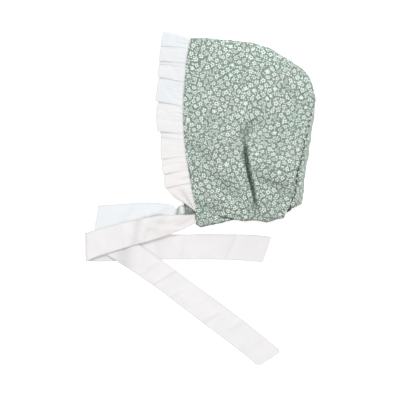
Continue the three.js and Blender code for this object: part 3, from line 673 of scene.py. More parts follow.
def near_panel():
    u = grid_lines(WIDTH, 0.58)
    v = grid_lines(HEIGHT, 0.9)
    p = patch(front_near, near_back, nape_near, near_top, u, v)
    U, V = np.meshgrid(u, v, indexing="ij")
    df, db, dn, dt = U * WIDTH, (1 - U) * WIDTH, V * HEIGHT, (1 - V) * HEIGHT
    x, y = p[..., 0].copy(), p[..., 1].copy()
    swell = (
        SWELL["height"]
        * ease(db / SWELL["seam"])
        * ease(dt / SWELL["seam"])
        * (SWELL["front_share"] + (1 - SWELL["front_share"]) * ease(df / SWELL["front"]))
        * ease(dn / SWELL["nape"])
    )
    edge = ease(db / 12) * ease(dt / 12) * ease(df / 12) * ease(dn / 10)
    z = p[..., 2] + swell
    for rows in FOLDS.values():
        z -= fold_field(x, y, rows) * edge
    z -= fold_field(x, y, HEM_FOLD)
    # short ripples lie across the cloth beside the tuck and along the back seam
    beside = np.exp(-(((x - 236) / 9) ** 2)) * np.exp(-(((y - 158) / 30) ** 2)) + 1.2 * np.exp(-(((db - 11) / 7) ** 2)) * np.exp(-(((y - 158) / 36) ** 2))
    z += 0.42 * beside * edge * pucker((y + 0.25 * x) / 4.4, x / 16)
    lift, push_x, push_y, drawn_in, painted_shade = tuck(x, y)
    z += lift * ease(dn / 10)
    p[..., 0] += push_x
    p[..., 1] += push_y
    # the cloth's own softness
    z += edge * (
        0.9 * big(x / 34 + 3.1, y / 40)
        + 0.5 * mid_noise(x / 15, y / 19 + 7.7)
        + 0.17 * fine(x / 6.5, y / 6.0)
    )
    # gathers that rise out of the nape edge and die away up the panel, leaning with the tuck
    arc = x + 0.22 * (y - 215)
    g = mid_noise(arc / 7.5 + 5.3, dn / 60 + 1.2) + 0.5 * fine(arc / 3.6, dn / 30)
    z += 1.5 * g * np.exp(-((dn / 22) ** 1.3)) * smooth(df / 9) * smooth(db / 7) * smooth(dn / 1.5)
    # puckers along the seams
    z += 0.55 * pucker(y / 2.3 + 3.0, df / 9) * np.exp(-df / 3.2) * smooth(df / 0.8)
    z += 0.34 * pucker(x / 3.6 + 17.0, dt / 9) * np.exp(-dt / 3.6)
    z += 0.40 * pucker(y / 3.8 + 41.0, db / 9) * np.exp(-db / 3.8)
    # turned edges dip into the seams; the nape's turned hem stands up a little behind its edge
    drawn = smooth((y - 140) / 28) * (1 - 0.6 * smooth((y - 184) / 8)) * smooth((214 - y) / 8)
    z -= (1.0 + 0.9 * smooth((y - 200) / 12)) * (1 - clamp(df / 1.5)) ** 2 + 1.3 * (1 - clamp(dt / 1.8)) ** 2
    z -= 2.3 * (1 - clamp(dn / 1.5)) ** 2
    z -= (1.1 + 1.9 * drawn) * (1 + 0.3 * pucker(y / 4.6 + 8.0, 0.2)) * (1 - clamp(db / 2.0)) ** 2
    # a line of stitches holds the nape's turned hem
    z -= 0.55 * np.exp(-(((dn - 3.6) / 0.9) ** 2)) * smooth(df / 4) * smooth(db / 4)
    z += 0.5 * np.exp(-(((dn - 2.0) / 0.9) ** 2))
    # the edges wander a little in plan between the stitches
    p[..., 0] += 0.5 * pucker(y / 2.3 + 3.0, 0.7) * np.exp(-df / 1.5)
    p[..., 1] += 0.45 * mid_noise(x / 4.2 + 9.0, 0.3) * np.exp(-dn / 3.0) * smooth(df / 5)
    p[..., 2] = z
    mid = place(p)
    mid[..., 2] -= CLOTH / 2
    # the print follows the hem as it turns down, instead of stretching over it
    over = np.linalg.norm(np.diff(mid, axis=1), axis=2) - np.linalg.norm(np.diff(mid[..., :2], axis=1), axis=2)
    over *= dn[:, 1:] < 9
    turned = np.concatenate([np.cumsum(over[:, ::-1], axis=1)[:, ::-1], np.zeros((len(u), 1))], axis=1)
    uv = np.stack([x + drawn_in, y + turned], -1)
    bake = np.stack([U, V], -1)
    # painted shade: the tuck, the sharper folds and the crease in the nape's hem are painted darker, the more the
    # deeper they are
    painted_shade = 0.64 * painted_shade
    for name, most in (("branch", 0.34), ("back_cross", 0.24), ("sweep_low", 0.14), ("sweep_high", 0.12), ("front_low", 0.2), ("crown_crease", 0.16)):
        rows = FOLDS[name]
        painted_shade = np.maximum(painted_shade, most * clamp(fold_field(x, y, rows) / max(r[2] for r in rows)) ** 1.5)
    painted_shade = np.maximum(painted_shade, 0.8 * clamp(fold_field(x, y, HEM_FOLD) / 4.6))
    return shell("left_side_panel_cloth", mid, CLOTH, uv, bake=bake, rim_mm=np.minimum(df + 1.4, dn), painted_shade_share=clamp(painted_shade, 0, 0.85))


def far_panel():
    u = grid_lines(WIDTH, 1.2)
    v = grid_lines(HEIGHT, 1.3)
    p = patch(front_far, far_back, nape_far, far_top, u, v)
    U, V = np.meshgrid(u, v, indexing="ij")
    df, db, dn, dt = U * WIDTH, (1 - U) * WIDTH, V * HEIGHT, (1 - V) * HEIGHT
    x, y = p[..., 0].copy(), p[..., 1].copy()
    lift = p[..., 2] * np.maximum.reduce([1 - ease(db / 16), 1 - ease(dt / 16), 1 - ease(df / 14), 1 - ease(dn / 12)])
    inner = ease(db / 8) * ease(dt / 8) * ease(df / 8) * ease(dn / 8)
    # soft wrinkles stand up inside and leave pressed flat ground between them
    w = 0.9 * np.maximum(0, mid_noise(x / 21 + 2.0, y / 28) - 0.12) + 0.35 * np.maximum(0, fine(x / 8, y / 11) - 0.1)
    gather = np.maximum(0, mid_noise((x + 0.2 * y) / 8.0, dn / 70)) * np.exp(-((dn / 16) ** 1.3)) * smooth(dn / 1.5)
    seam = 0.3 * np.abs(pucker(y / 3.4, 0.2)) * np.exp(-df / 3.0)
    p[..., 2] = lift + w * inner + 0.9 * gather + seam
    mid = place(p)
    mid[..., 2] += CLOTH / 2
    uv = np.stack([x + 260, y + 31], -1)
    bake = np.stack([U, V], -1)
    return shell("right_side_panel_cloth", mid, CLOTH, uv, bake=bake, floor=0.0, inner="face")


# ------------------------------------------------------------------ gusset
seam_pace = pace(SEAM[:, 3:5])


def gusset_row(s):
    """Row of the gusset's three guide points at share s, as in the model's source: arrays (..., 3) in sheet mm."""
    r = through(SEAM, s, seam_pace)
    e = 1e-3
    a, b = through(SEAM, clamp(s - e), seam_pace), through(SEAM, clamp(s + e), seam_pace)
    tx, ty = b[..., 3] - a[..., 3], b[..., 4] - a[..., 4]
    tl = np.hypot(tx, ty)
    nx, ny = ty / tl, -tx / tl
    out = GAP + 1.2
    p0 = np.stack([r[..., 0] + nx * out, r[..., 1] + ny * out, r[..., 2] - 0.3], -1)
    p1 = np.stack([r[..., 3], r[..., 4], r[..., 2] * 0.45 + 0.6], -1)
    p2 = np.stack([r[..., 5] + nx * out, r[..., 6] + ny * out, r[..., 7] * 0.5 + 0.1], -1)
    return p0, p1, p2, np.stack([nx, ny], -1)


def gusset_points(s, w):
    p0, p1, p2, n = gusset_row(s)
    w = np.asarray(w, float)[..., None]
    p = p0 * ((1 - w) * (1 - 2 * w)) + p1 * (4 * w * (1 - w)) + p2 * (w * (2 * w - 1))
    return p, n


def gusset():
    length = 291.0
    s = grid_lines(length, 1.05)
    w = grid_lines(34.0, 0.9)
    S, W = np.meshgrid(s, w, indexing="ij")
    p, n = gusset_points(S, W)
    arc = S * length
    span = np.maximum(p[:, :1, 2] - p[:, -1:, 2], 6.0)
    d0, d1 = W * span, (1 - W) * span
    de = np.minimum(S, 1 - S) * length
    # puckers off both seams, soft wrinkles across the strip, both pressed inwards so that the outline stays
    h = 0.42 * pucker(arc / 3.3, 3.0 + d0 / 14) * np.exp(-d0 / 5.0)
    h += 0.42 * pucker(arc / 3.1 + 60, 9.0 + d1 / 14) * np.exp(-d1 / 5.0)
    h += 0.75 * mid_noise(arc / 11.0 + 2.0, W * 1.6) + 0.12 * fine(arc / 5.0, W * 5)
    low = smooth((S - 0.5) / 0.07) * smooth((1 - S) / 0.03)
    h += smooth((S - 0.62) / 0.2) * (0.3 + 0.5 * W) * mid_noise(arc / 8.0 + 30, W * 1.2)
    h += low * (0.5 + 0.3 * pucker(arc / 4.2 + 7, 0.3)) * np.exp(-(((d0 - 4.6) / 2.4) ** 2))
    rise = low * (2.0 + 0.5 * pucker(arc / 4.6 + 19, 0.8)) * np.exp(-(((d0 - 3.4) / 2.0) ** 2))
    rise -= low * 1.6 * (1 - clamp(d0 / 1.7)) ** 2
    p[..., 2] += rise * np.minimum(1.0, p[:, :1, 2] / 14)
    h -= (1.0 + 0.8 * low) * (1 - clamp(d0 / 2.1)) ** 2 + 0.7 * (1 - clamp(d1 / 1.7)) ** 2
    h -= 0.35
    h *= smooth(de / 1.2) * 0.6 + 0.4
    p[..., 0] += n[..., 0] * h
    p[..., 1] += n[..., 1] * h
    mid = place(p)
    # half the cloth lies inside the guide surface
    mid[..., 0] -= n[..., 0] * CLOTH / 2
    mid[..., 1] += n[..., 1] * CLOTH / 2
    uv = np.stack([arc + 40, W * 34 + 330], -1)
    # painted shade: darker streaks on the strip's lower back half, near the seam with the upper panel
    streaks = clamp(0.5 + 0.8 * fine(arc / 9.0, d0 / 0.9))
    painted_shade = smooth((S - 0.45) / 0.1) * 0.16 * streaks * (1 - smooth((d0 - 11) / 8))
    return shell("crown_gusset_cloth", mid, CLOTH, uv, floor=0.06, rim_mm=de, painted_shade_share=clamp(painted_shade, 0, 0.8))


# ------------------------------------------------------------------ ruffle
def by_y(edge):
    """Point of an edge at sheet height y."""
    s = np.linspace(0, 1, 2001)
    pts = edge(s)
    o = np.argsort(pts[:, 1])

    def at(y):
        return np.stack([np.interp(y, pts[o, 1], pts[o, k]) for k in range(3)], -1)

    return at


near_at, far_at = by_y(front_near), by_y(front_far)
drop_rows = np.array(OUTER_DROP, float)


def ruffle():
    """Keys along the strip, from the upper side's tapered end round the forehead to the lower side's end. Each is: seam point, outer point, direction it
    stands in, height at the outer edge, share of that height kept at the seam."""
    keys = []
    up, out = np.array([0.0, 0.0, 1.0]), np.array([0.0, 1.0, 0.0])

    def near(yi, xo, yo, h, keep=0.3):
        sx, sy, sz = near_at(yi)
        o = place([xo, yo, sz - np.interp(yi, drop_rows[:, 0], drop_rows[:, 1])])
        keys.append((place([sx - GAP, sy, sz - 0.1]), o, up, h, keep))

    for yi, xo, yo, h in TAPER_NEAR[::-1]:
        near(yi, xo, yo, h, 0.1)
    lips = [[40.7, 163.3, 31.4, 163.0, 0.6, 0.0], *PLEATS_NEAR]
    for k in range(len(lips) - 1, 0, -1):
        yi, xo, yo, xs, h, lap = lips[k]
        py, pxs, pyo = lips[k - 1][0], lips[k - 1][3], lips[k - 1][2]
        gap_s, gap_o = yi - py, yo - pyo
        sl = 0.12 * lap  # how much of the lap is left at the seam
        if lap > 1.0:
            near(yi + 0.22 * min(gap_s, 8), xs + 0.1, yo + 2.2, 0.15)
            near(yi - sl * 0.4, xs + 0.3, yo - 0.35 * lap, 0.0)
            near(yi - sl, xs + 0.4, yo - lap + 0.3, 0.05)
            near(yi - sl * 1.3, (xs + xo) / 2 + 0.3, yo - lap - 0.35, h * 0.26)
            near(yi - sl, xo + 0.5, yo - lap + 0.2, h * 0.5)
            near(yi - sl * 0.4, xo + 0.25, yo - 0.8, h * 0.58)
            near(yi, xo, yo, h * 0.82)
            near(yi - 0.5, xo, yo - 0.9, h)
        else:
            near(yi + 1.6, xs, yo + 1.8, h * 0.15)
            near(yi, xo, yo, h * 0.6)
            near(yi - 1.2, xo, yo - 1.5, h)
        # the cloth between this lip and the one above it
        for f, r in ((0.62, 0.86), (0.34, 0.6)):
            if gap_o * (1 - f) > 2.4 and gap_o * f > 3.0:
                near(py + gap_s * f, pxs + (xo - pxs) * f - 0.25, pyo + gap_o * f, h * r)
    near(40.7, 163.3, 31.6, 0.5)
    n_near = len(keys)
    # round the gusset's front end: the standing direction turns from up to outwards
    for w, xo, yo, h in (
        (0.04, 163.1, 31.1, 0.2),
        (0.16, 162.9, 31.6, 1.0),
        (0.27, 162.7, 32.4, 1.7),
        (0.34, 163.3, 32.4, 1.2),
        (0.38, 163.7, 32.6, 0.2),
        (0.50, 163.5, 32.8, 1.0),
        (0.60, 162.9, 33.1, 1.9),
        (0.66, 163.5, 33.1, 1.3),
        (0.70, 164.1, 33.6, 0.2),
        (0.84, 163.9, 33.8, 0.9),
        (0.94, 163.5, 34.0, 0.8),
    ):
        q, _ = gusset_points(np.array(0.0), np.array(w))
        sp = place(q)
        sp[0] -= GAP + 0.1
        z = sp[2] - 9 * (1 - w) + 0.9 * w
        mix = smooth(w / 0.16)
        keys.append((sp, place([xo, yo, z]), up * (1 - mix) + out * mix, h, 0.3))
    # under the lower panel
    for i, (yi, xo, yo, h) in enumerate(WAVES_FAR):
        sx, sy, sz = far_at(yi)
        s0, o0 = place([sx - GAP, sy, sz + 0.35]), place([xo, yo, 0.35])
        keys.append((s0, o0, up, h, 0.25))
    S = np.array([k[0] for k in keys])
    O = np.array([k[1] for k in keys])
    N = np.array([k[2] for k in keys])
    N /= np.linalg.norm(N, axis=1, keepdims=True)
    H = np.array([k[3] for k in keys])
    K = np.array([k[4] for k in keys])
    # pace by the outer edge as it stands, so that the laps get their share of the grid
    top = O + N * H[:, None]
    d = np.linalg.norm(np.diff(top, axis=0), axis=1) * 0.8 + np.linalg.norm(np.diff(S, axis=0), axis=1) * 0.2
    st = np.concatenate([[0], np.cumsum(np.maximum(d, 0.25) ** 0.8)])
    st /= st[-1]
    a = np.linspace(0, 1, 1100)
    rows = np.concatenate([S, O, N, H[:, None], K[:, None]], 1)
    f = through(rows, a, st)
    s0, o0, n0, h0, k0 = f[:, 0:3], f[:, 3:6], f[:, 6:9], f[:, 9], clamp(f[:, 10])
    n0 /= np.linalg.norm(n0, axis=1, keepdims=True)
    h0 = np.maximum(h0, 0) * 0.5
    t = np.concatenate([[0, 0.006, 0.014, 0.024], np.linspace(0.04, 0.955, 26), [0.972, 0.984, 0.993, 0.998, 1.0]])
    T = t[None, :]
    seam_run = np.concatenate([[0], np.cumsum(np.linalg.norm(np.diff(s0, axis=0), axis=1))])
    outer_run = np.concatenate([[0], np.cumsum(np.linalg.norm(np.diff(o0 + n0 * h0[:, None], axis=0), axis=1))])
    grow = 0.6 * k0[:, None] + (1 - 0.6 * k0[:, None]) * T**1.15
    P = s0[:, None] * (1 - T[..., None]) + o0[:, None] * T[..., None]
    height = h0[:, None] * grow
    # fine gathers held by the seam's thread, dying out towards the outer edge
    run = seam_run[:, None] * (1 - T) + outer_run[:, None] * T * 0.55
    gather = 0.5 * pucker(seam_run[:, None] / 1.5, 0.4 + T * 2.3) + 0.55 * fine(seam_run[:, None] / 3.7, 2.2 + T * 1.8)
    height = height + gather * (1 - T) ** 2.6 * smooth(T / 0.03)
    height = height + 0.25 * mid_noise(run / 5.5 + 12, T * 1.1) * smooth(T / 0.3) * (0.35 + 0.65 * (1 - T))
    # the tapered end is folded along its middle, and its outer band stands up again
    end = smooth((s0[:, 2] - 6.5) / 2) * smooth((12.2 - s0[:, 2]) / 0.8) * (np.arange(len(a)) < len(a) * 0.5)
    end = end[:, None]
    height = height + end * (0.8 * np.exp(-(((T - 0.2) / 0.14) ** 2)) - 1.5 * np.exp(-(((T - 0.5) / 0.11) ** 2)) + 0.9 * np.exp(-(((T - 0.8) / 0.14) ** 2)))
    # the cloth bows up a little before it droops
    bow = 0.8 * 4 * T * (1 - T)
    up_share = clamp(n0[:, 2])[:, None]
    height = height + bow * up_share * smooth((s0[:, 2] - 3) / 6)[:, None]
    P = P + n0[:, None] * height[..., None]
    # a turned hem along the outer edge
    P[..., 2] = np.maximum(P[..., 2], 0.36)
    thick = RUFFLE_CLOTH * (1 + 0.35 * np.exp(-(((1 - T) * 24 - 1.0) / 0.8) ** 2) - 0.35 * np.exp(-(((1 - T) * 24 - 2.4) / 0.35) ** 2))
    thick = np.broadcast_to(thick, P.shape[:2])
    uv = np.stack([np.broadcast_to(outer_run[:, None], P.shape[:2]), np.broadcast_to(T * 25, P.shape[:2])], -1)
    # painted shade: its hollows between the gathers are painted a little warmer and darker, most of all where the
    # tapered end is folded
    hollow_shade = 0.075 * np.maximum(0, mid_noise(run / 6.5 + 5.0, T * 1.7)) * (1 - T) ** 0.6 + 0.03 * np.maximum(0, fine(run / 2.2, T * 1.2)) * (1 - T)
    hollow_shade = hollow_shade + end * (0.05 + 0.09 * np.exp(-(((T - 0.5) / 0.16) ** 2)))
    ob = shell("ruffle_brim_cloth", P, thick, uv, floor=0.0, painted_shade_share=clamp(hollow_shade, 0, 0.3))
    return ob, n_near


# ------------------------------------------------------------------ ties
def tie(name, out, turn, back, creases, shades, corner, thick=TIE_CLOTH, seed=30, gathers=0.5, roll=0.0):
    rows = []
    for r in out:
        rows.append([*place([r[0], r[1], r[4]]), *place([r[2], r[3], r[4]]), 0, 0, 1])
    zt, zb = out[-1][4], back[0][4]
    n_out = len(out) + 3
    rad = (zt - zb) / 2
    for deg in (90, 65, 40, 15, -15, -40, -65, -90):
        a = np.radians(deg)
        dx = rad + 0.5 - rad * np.cos(a)
        z = (zt + zb) / 2 + rad * np.sin(a)
        rows.append([*place([turn[0] + dx, turn[1], z]), *place([turn[2] + dx, turn[3], z]), -np.cos(a), 0, np.sin(a)])
    for r in back:
        rows.append([*place([r[0], r[1], r[4]]), *place([r[2], r[3], r[4]]), 0, 0, -1])
    rows = np.array(rows)
    mids = (rows[:, :3] + rows[:, 3:6]) / 2
    st = pace(mids, 3)
    steps = np.linalg.norm(np.diff(mids, axis=0), axis=1)
    total, out_len = steps.sum(), steps[:n_out].sum()
    a = grid_lines(total, 0.75)
    f = through(rows, a, st)
    U, L, n = f[:, :3], f[:, 3:6], f[:, 6:9]
    n = n / np.maximum(np.linalg.norm(n, axis=1, keepdims=True), 1e-9)
    w = grid_lines(27.0, 0.75)
    A, W = a[:, None] * total, w[None, :]
    # rounded corners at the free end
    short = clamp(corner - (total - A), 0, corner)
    inset = (corner - np.sqrt(corner**2 - short**2)) / 27.0
    across = (inset + W * (1 - 2 * inset))[..., None]
    P = U[:, None] * (1 - across) + L[:, None] * across
    nz = Noise(seed)
    h = np.zeros(P.shape[:2])
    # lengthwise gathers where the tie is sewn in, opening out along it
    fan = np.exp(-((A / 30.0) ** 1.4))
    h += gathers * fan * (0.9 * nz(W * 4.2 + 2, A / 34) + 0.4 * nz(W * 9 + 8, A / 26 + 5))
    # it is rolled where it comes out from under the corner, with a ridge inside the roll's mouth
    foot = 7.6 + 2.6 * W**0.8
    low = 1 - 0.8 * smooth((W - 0.72) / 0.24)
    h += roll * low * (4.4 * smooth((A - foot) / 2.6) * np.exp(-((A / 24.0) ** 2)) * (1 - 0.3 * W) + 4.6 * np.exp(-(((A - 3.6) / 2.3) ** 2)) * (0.5 + 0.5 * smooth(W / 0.2)))
    spread = np.exp(-(((A - 30) / 26.0) ** 2))
    h += spread * 0.55 * nz(W * 2.6 + 4, A / 16 + 3)
    # creases across it
    def along(a0, w0, a1, w1):
        p0, p1 = np.array([a0, w0 * 27.0]), np.array([a1, w1 * 27.0])
        d = p1 - p0
        k = clamp(((A - p0[0]) * d[0] + (W * 27 - p0[1]) * d[1]) / (d @ d))
        return np.hypot(A - p0[0] - k * d[0], W * 27 - p0[1] - k * d[1])

    ridge = np.zeros(P.shape[:2])
    for a0, w0, a1, w1, hh, hw in creases:
        ridge += hh * np.exp(-((along(a0, w0, a1, w1) / hw) ** 2))
    free = smooth((A - 20) / 20)
    ridge += free * (0.3 * np.maximum(0, nz(A / 17, W * 1.7)) + 0.1 * nz(A / 7 + 9, W * 4))
    ridge *= smooth(np.abs(A - out_len) / 4)
    # the stitched edge lies a little lower than the cloth between the two rows of stitches
    de = np.minimum(W, 1 - W) * 27.0
    P = P + n[:, None] * h[..., None]
    P[..., 2] = np.maximum(P[..., 2] + ridge, thick / 2)
    t = thick * (1 - 0.28 * np.exp(-(((de - 2.6) / 0.5) ** 2)) + 0.06 * smooth((de - 3) / 4))
    endd = np.minimum(A, total - A)
    t = t * (1 - 0.28 * np.exp(-(((total - A - 4.6) / 0.5) ** 2)))
    uv = np.stack([np.broadcast_to(A, P.shape[:2]), np.broadcast_to(W * 27, P.shape[:2])], -1)
    # painted shade in the roll's mouth and along its foot where the tie comes out from under the corner, plus the
    # listed shades
    left_of = A - 4.6 - 2.6 * W**0.8
    painted_shade = roll * smooth((W + 0.02) / 0.1) * (0.85 * np.exp(-(((left_of - 2.4) / 1.5) ** 2)) * (left_of < 2.4) + 0.85 * np.exp(-(((left_of - 2.4) / 2.2) ** 2)) * (left_of >= 2.4) + 0.8 * np.exp(-(((A - 0.2) / 1.5) ** 2)))
    for a0, w0, a1, w1, share, hw in shades:
        painted_shade = painted_shade + share * np.exp(-((along(a0, w0, a1, w1) / hw) ** 2))
    ob = shell(name, P, t, uv, floor=0.0, painted_shade_share=clamp(painted_shade, 0, 0.9), two_sided=True)
    return ob, P, n, total


# ------------------------------------------------------------------ stitches
def stitches(name, runs, pitch=2.9, length=1.9, radius=0.2, material=None):
    """Short thread stitches along polylines (frame mm), as small rounded pills joined in one mesh. runs: list of (points, normals), or
    with pitch None of (points, normals, radius), each of them one stitch."""
    verts, quads, count = [], [], 0
    ring = 6
    for pts, nrm, *own in runs:
        seg = np.linalg.norm(np.diff(pts, axis=0), axis=1)
        run = np.concatenate([[0], np.cumsum(seg)])
        radius = own[0] if own else radius
        length = run[-1] if own else length
        for c in [run[-1] / 2] if own else np.arange(pitch * 0.6, run[-1] - pitch * 0.4, pitch):
            where = np.linspace(c - length / 2, c + length / 2, 5)
            p = np.stack([np.interp(where, run, pts[:, k]) for k in range(3)], -1)
            nn = np.stack([np.interp(where, run, nrm[:, k]) for k in range(3)], -1)
            nn /= np.maximum(np.linalg.norm(nn, axis=1, keepdims=True), 1e-9)
            tan = np.gradient(p, axis=0)
            tan /= np.maximum(np.linalg.norm(tan, axis=1, keepdims=True), 1e-9)
            side = np.cross(tan, nn)
            lift = radius * np.array([-0.9, 0.15, 0.35, 0.15, -0.9])
            r = radius * np.array([0.35, 0.95, 1.0, 0.95, 0.35])
            p = p + nn * lift[:, None]
            base = count
            for k in range(5):
                for j in range(ring):
                    a = 2 * np.pi * j / ring
                    verts.append(p[k] + r[k] * (np.cos(a) * side[k] + np.sin(a) * nn[k]))
            for k in range(4):
                for j in range(ring):
                    j2 = (j + 1) % ring
                    quads.append((base + k * ring + j, base + k * ring + j2, base + (k + 1) * ring + j2, base + (k + 1) * ring + j))
            quads.append(tuple(base + j for j in range(ring))[::-1])
            quads.append(tuple(base + 4 * ring + j for j in range(ring)))
            count += 5 * ring
    me = bpy.data.meshes.new(name)
    me.from_pydata([tuple(v * MM) for v in verts], [], quads)
    me.polygons.foreach_set("use_smooth", np.ones(len(me.polygons), bool))
    me.update()
    ob = bpy.data.objects.new(name, me)
    bpy.context.scene.collection.objects.link(ob)
    if material:
        ob.data.materials.append(material)
    return ob


# ------------------------------------------------------------------ materials
class Nodes:
    """Small helper to wire shader nodes."""

    def __init__(self, name):
        self.mat = bpy.data.materials.new(name)
        self.mat.use_nodes = True
        self.nt = self.mat.node_tree
        self.nt.nodes.clear()

    def new(self, kind, **props):
        n = self.nt.nodes.new(kind)
        for k, v in props.items():
            setattr(n, k, v)
        return n

    def link(self, a, b):
        self.nt.links.new(a, b)

    def put(self, socket, value):
        if isinstance(value, bpy.types.NodeSocket):
            self.link(value, socket)
        else:
            socket.default_value = value

    def math(self, op, a, b=None, c=None, clamp_it=False):
        n = self.new("ShaderNodeMath", operation=op, use_clamp=clamp_it)
        for k, v in enumerate((a, b, c)):
            if v is not None:
                self.put(n.inputs[k], v)
        return n.outputs[0]

    def vmath(self, op, a, b=None, scale=None):
        n = self.new("ShaderNodeVectorMath", operation=op)
        self.put(n.inputs[0], a)
        if b is not None:
            self.put(n.inputs[1], b)
        if scale is not None:
            self.put(n.inputs["Scale"], scale)
        return n.outputs["Value"] if op in ("LENGTH", "DOT_PRODUCT", "DISTANCE") else n.outputs["Vector"]

    def step(self, x, lo, hi):
        """0 at lo, 1 at hi, smooth between."""
        n = self.new("ShaderNodeMapRange", interpolation_type="SMOOTHSTEP", clamp=True)
        self.put(n.inputs["Value"], x)
        self.put(n.inputs["From Min"], lo)
        self.put(n.inputs["From Max"], hi)
        return n.outputs["Result"]

    def mix(self, f, a, b):
        n = self.new("ShaderNodeMix", data_type="RGBA")
        self.put(n.inputs[0], f)
        self.put(n.inputs[6], a)
        self.put(n.inputs[7], b)
        return n.outputs[2]


def srgb(r, g, b):
    def f(c):
        c /= 255
        return c / 12.92 if c <= 0.04045 else ((c + 0.055) / 1.055) ** 2.4

    return (f(r), f(g), f(b), 1.0)


def rim_distance(m):
    """Distance in mm from the piece's own edge, as its mesh holds it."""
    a = m.new("ShaderNodeAttribute", attribute_type="GEOMETRY", attribute_name="Rim")
    return a.outputs["Fac"]


def painted_shade_amount(m):
    """How much painted shade the material lays on the cloth, 0 to 1, as its mesh holds it."""
    a = m.new("ShaderNodeAttribute", attribute_type="GEOMETRY", attribute_name="PaintedShade")
    return a.outputs["Fac"]


def inner_side(m):
    """1 on the wrong side of the cloth and 0 on its right side, as its mesh holds it."""
    a = m.new("ShaderNodeAttribute", attribute_type="GEOMETRY", attribute_name="Inner")
    return a.outputs["Fac"]


def weave(m, uv, thread):
    """Height of a plain weave with that thread pitch in mm, 0 to 1."""
    sx = m.new("ShaderNodeSeparateXYZ")
    m.link(uv, sx.inputs[0])
    k = 2 * np.pi / (2 * thread)
    a = m.math("SINE", m.math("MULTIPLY", sx.outputs[0], k))
    b = m.math("SINE", m.math("MULTIPLY", sx.outputs[1], k))
    over = m.math("MULTIPLY", a, b)  # checkerboard of warp over and weft over
    c = m.math("ABSOLUTE", a)
    d = m.math("ABSOLUTE", b)
    both = m.math("ADD", m.math("MULTIPLY", c, 0.5), m.math("MULTIPLY", d, 0.5))
    return m.math("ADD", m.math("MULTIPLY", over, 0.25), both)


def flowers(m, uv, pitch, randomness, r_low, r_high, notch, seed, petals=5):
    """One layer of petalled flowers at mm coordinates uv: how far inside the outline, distance from the centre, cell colours, distance from the line
    between two petals."""
    at = m.vmath("ADD", uv, (seed * 13.7, seed * 7.3, 0.0))
    vor = m.new("ShaderNodeTexVoronoi", voronoi_dimensions="2D", feature="F1")
    m.put(vor.inputs["Vector"], at)
    m.put(vor.inputs["Scale"], 1.0 / pitch)
    m.put(vor.inputs["Randomness"], randomness)
    d = m.vmath("SUBTRACT", at, vor.outputs["Position"])
    sep = m.new("ShaderNodeSeparateXYZ")
    m.link(d, sep.inputs[0])
    r = m.vmath("LENGTH", d)
    ang = m.math("ARCTAN2", sep.outputs[1], sep.outputs[0])
    col = m.new("ShaderNodeSeparateColor")
    m.link(vor.outputs["Color"], col.inputs[0])
    turned = m.math("MULTIPLY", m.math("ADD", ang, m.math("MULTIPLY", col.outputs[0], 6.283)), float(petals))
    wave = m.math("COSINE", turned)
    half = m.math("ABSOLUTE", m.math("COSINE", m.math("MULTIPLY", turned, 0.5)))
    between = m.math("MULTIPLY", half, m.math("MULTIPLY", r, 2.0 / petals))
    size = m.math("ADD", m.math("MULTIPLY", col.outputs[1], r_high - r_low), r_low)
    # petals a little pointed at the tip, with a sharp notch between them
    point = m.math("SUBTRACT", m.math("MULTIPLY", m.math("POWER", half, 0.8), 2.0), 1.0)
    shape = m.math("ADD", m.math("MULTIPLY", wave, 0.5), m.math("MULTIPLY", point, 0.5))
    reach = m.math("MULTIPLY", size, m.math("ADD", m.math("MULTIPLY", shape, notch), 1.0 - notch))
    return m.math("SUBTRACT", reach, r), r, col, between


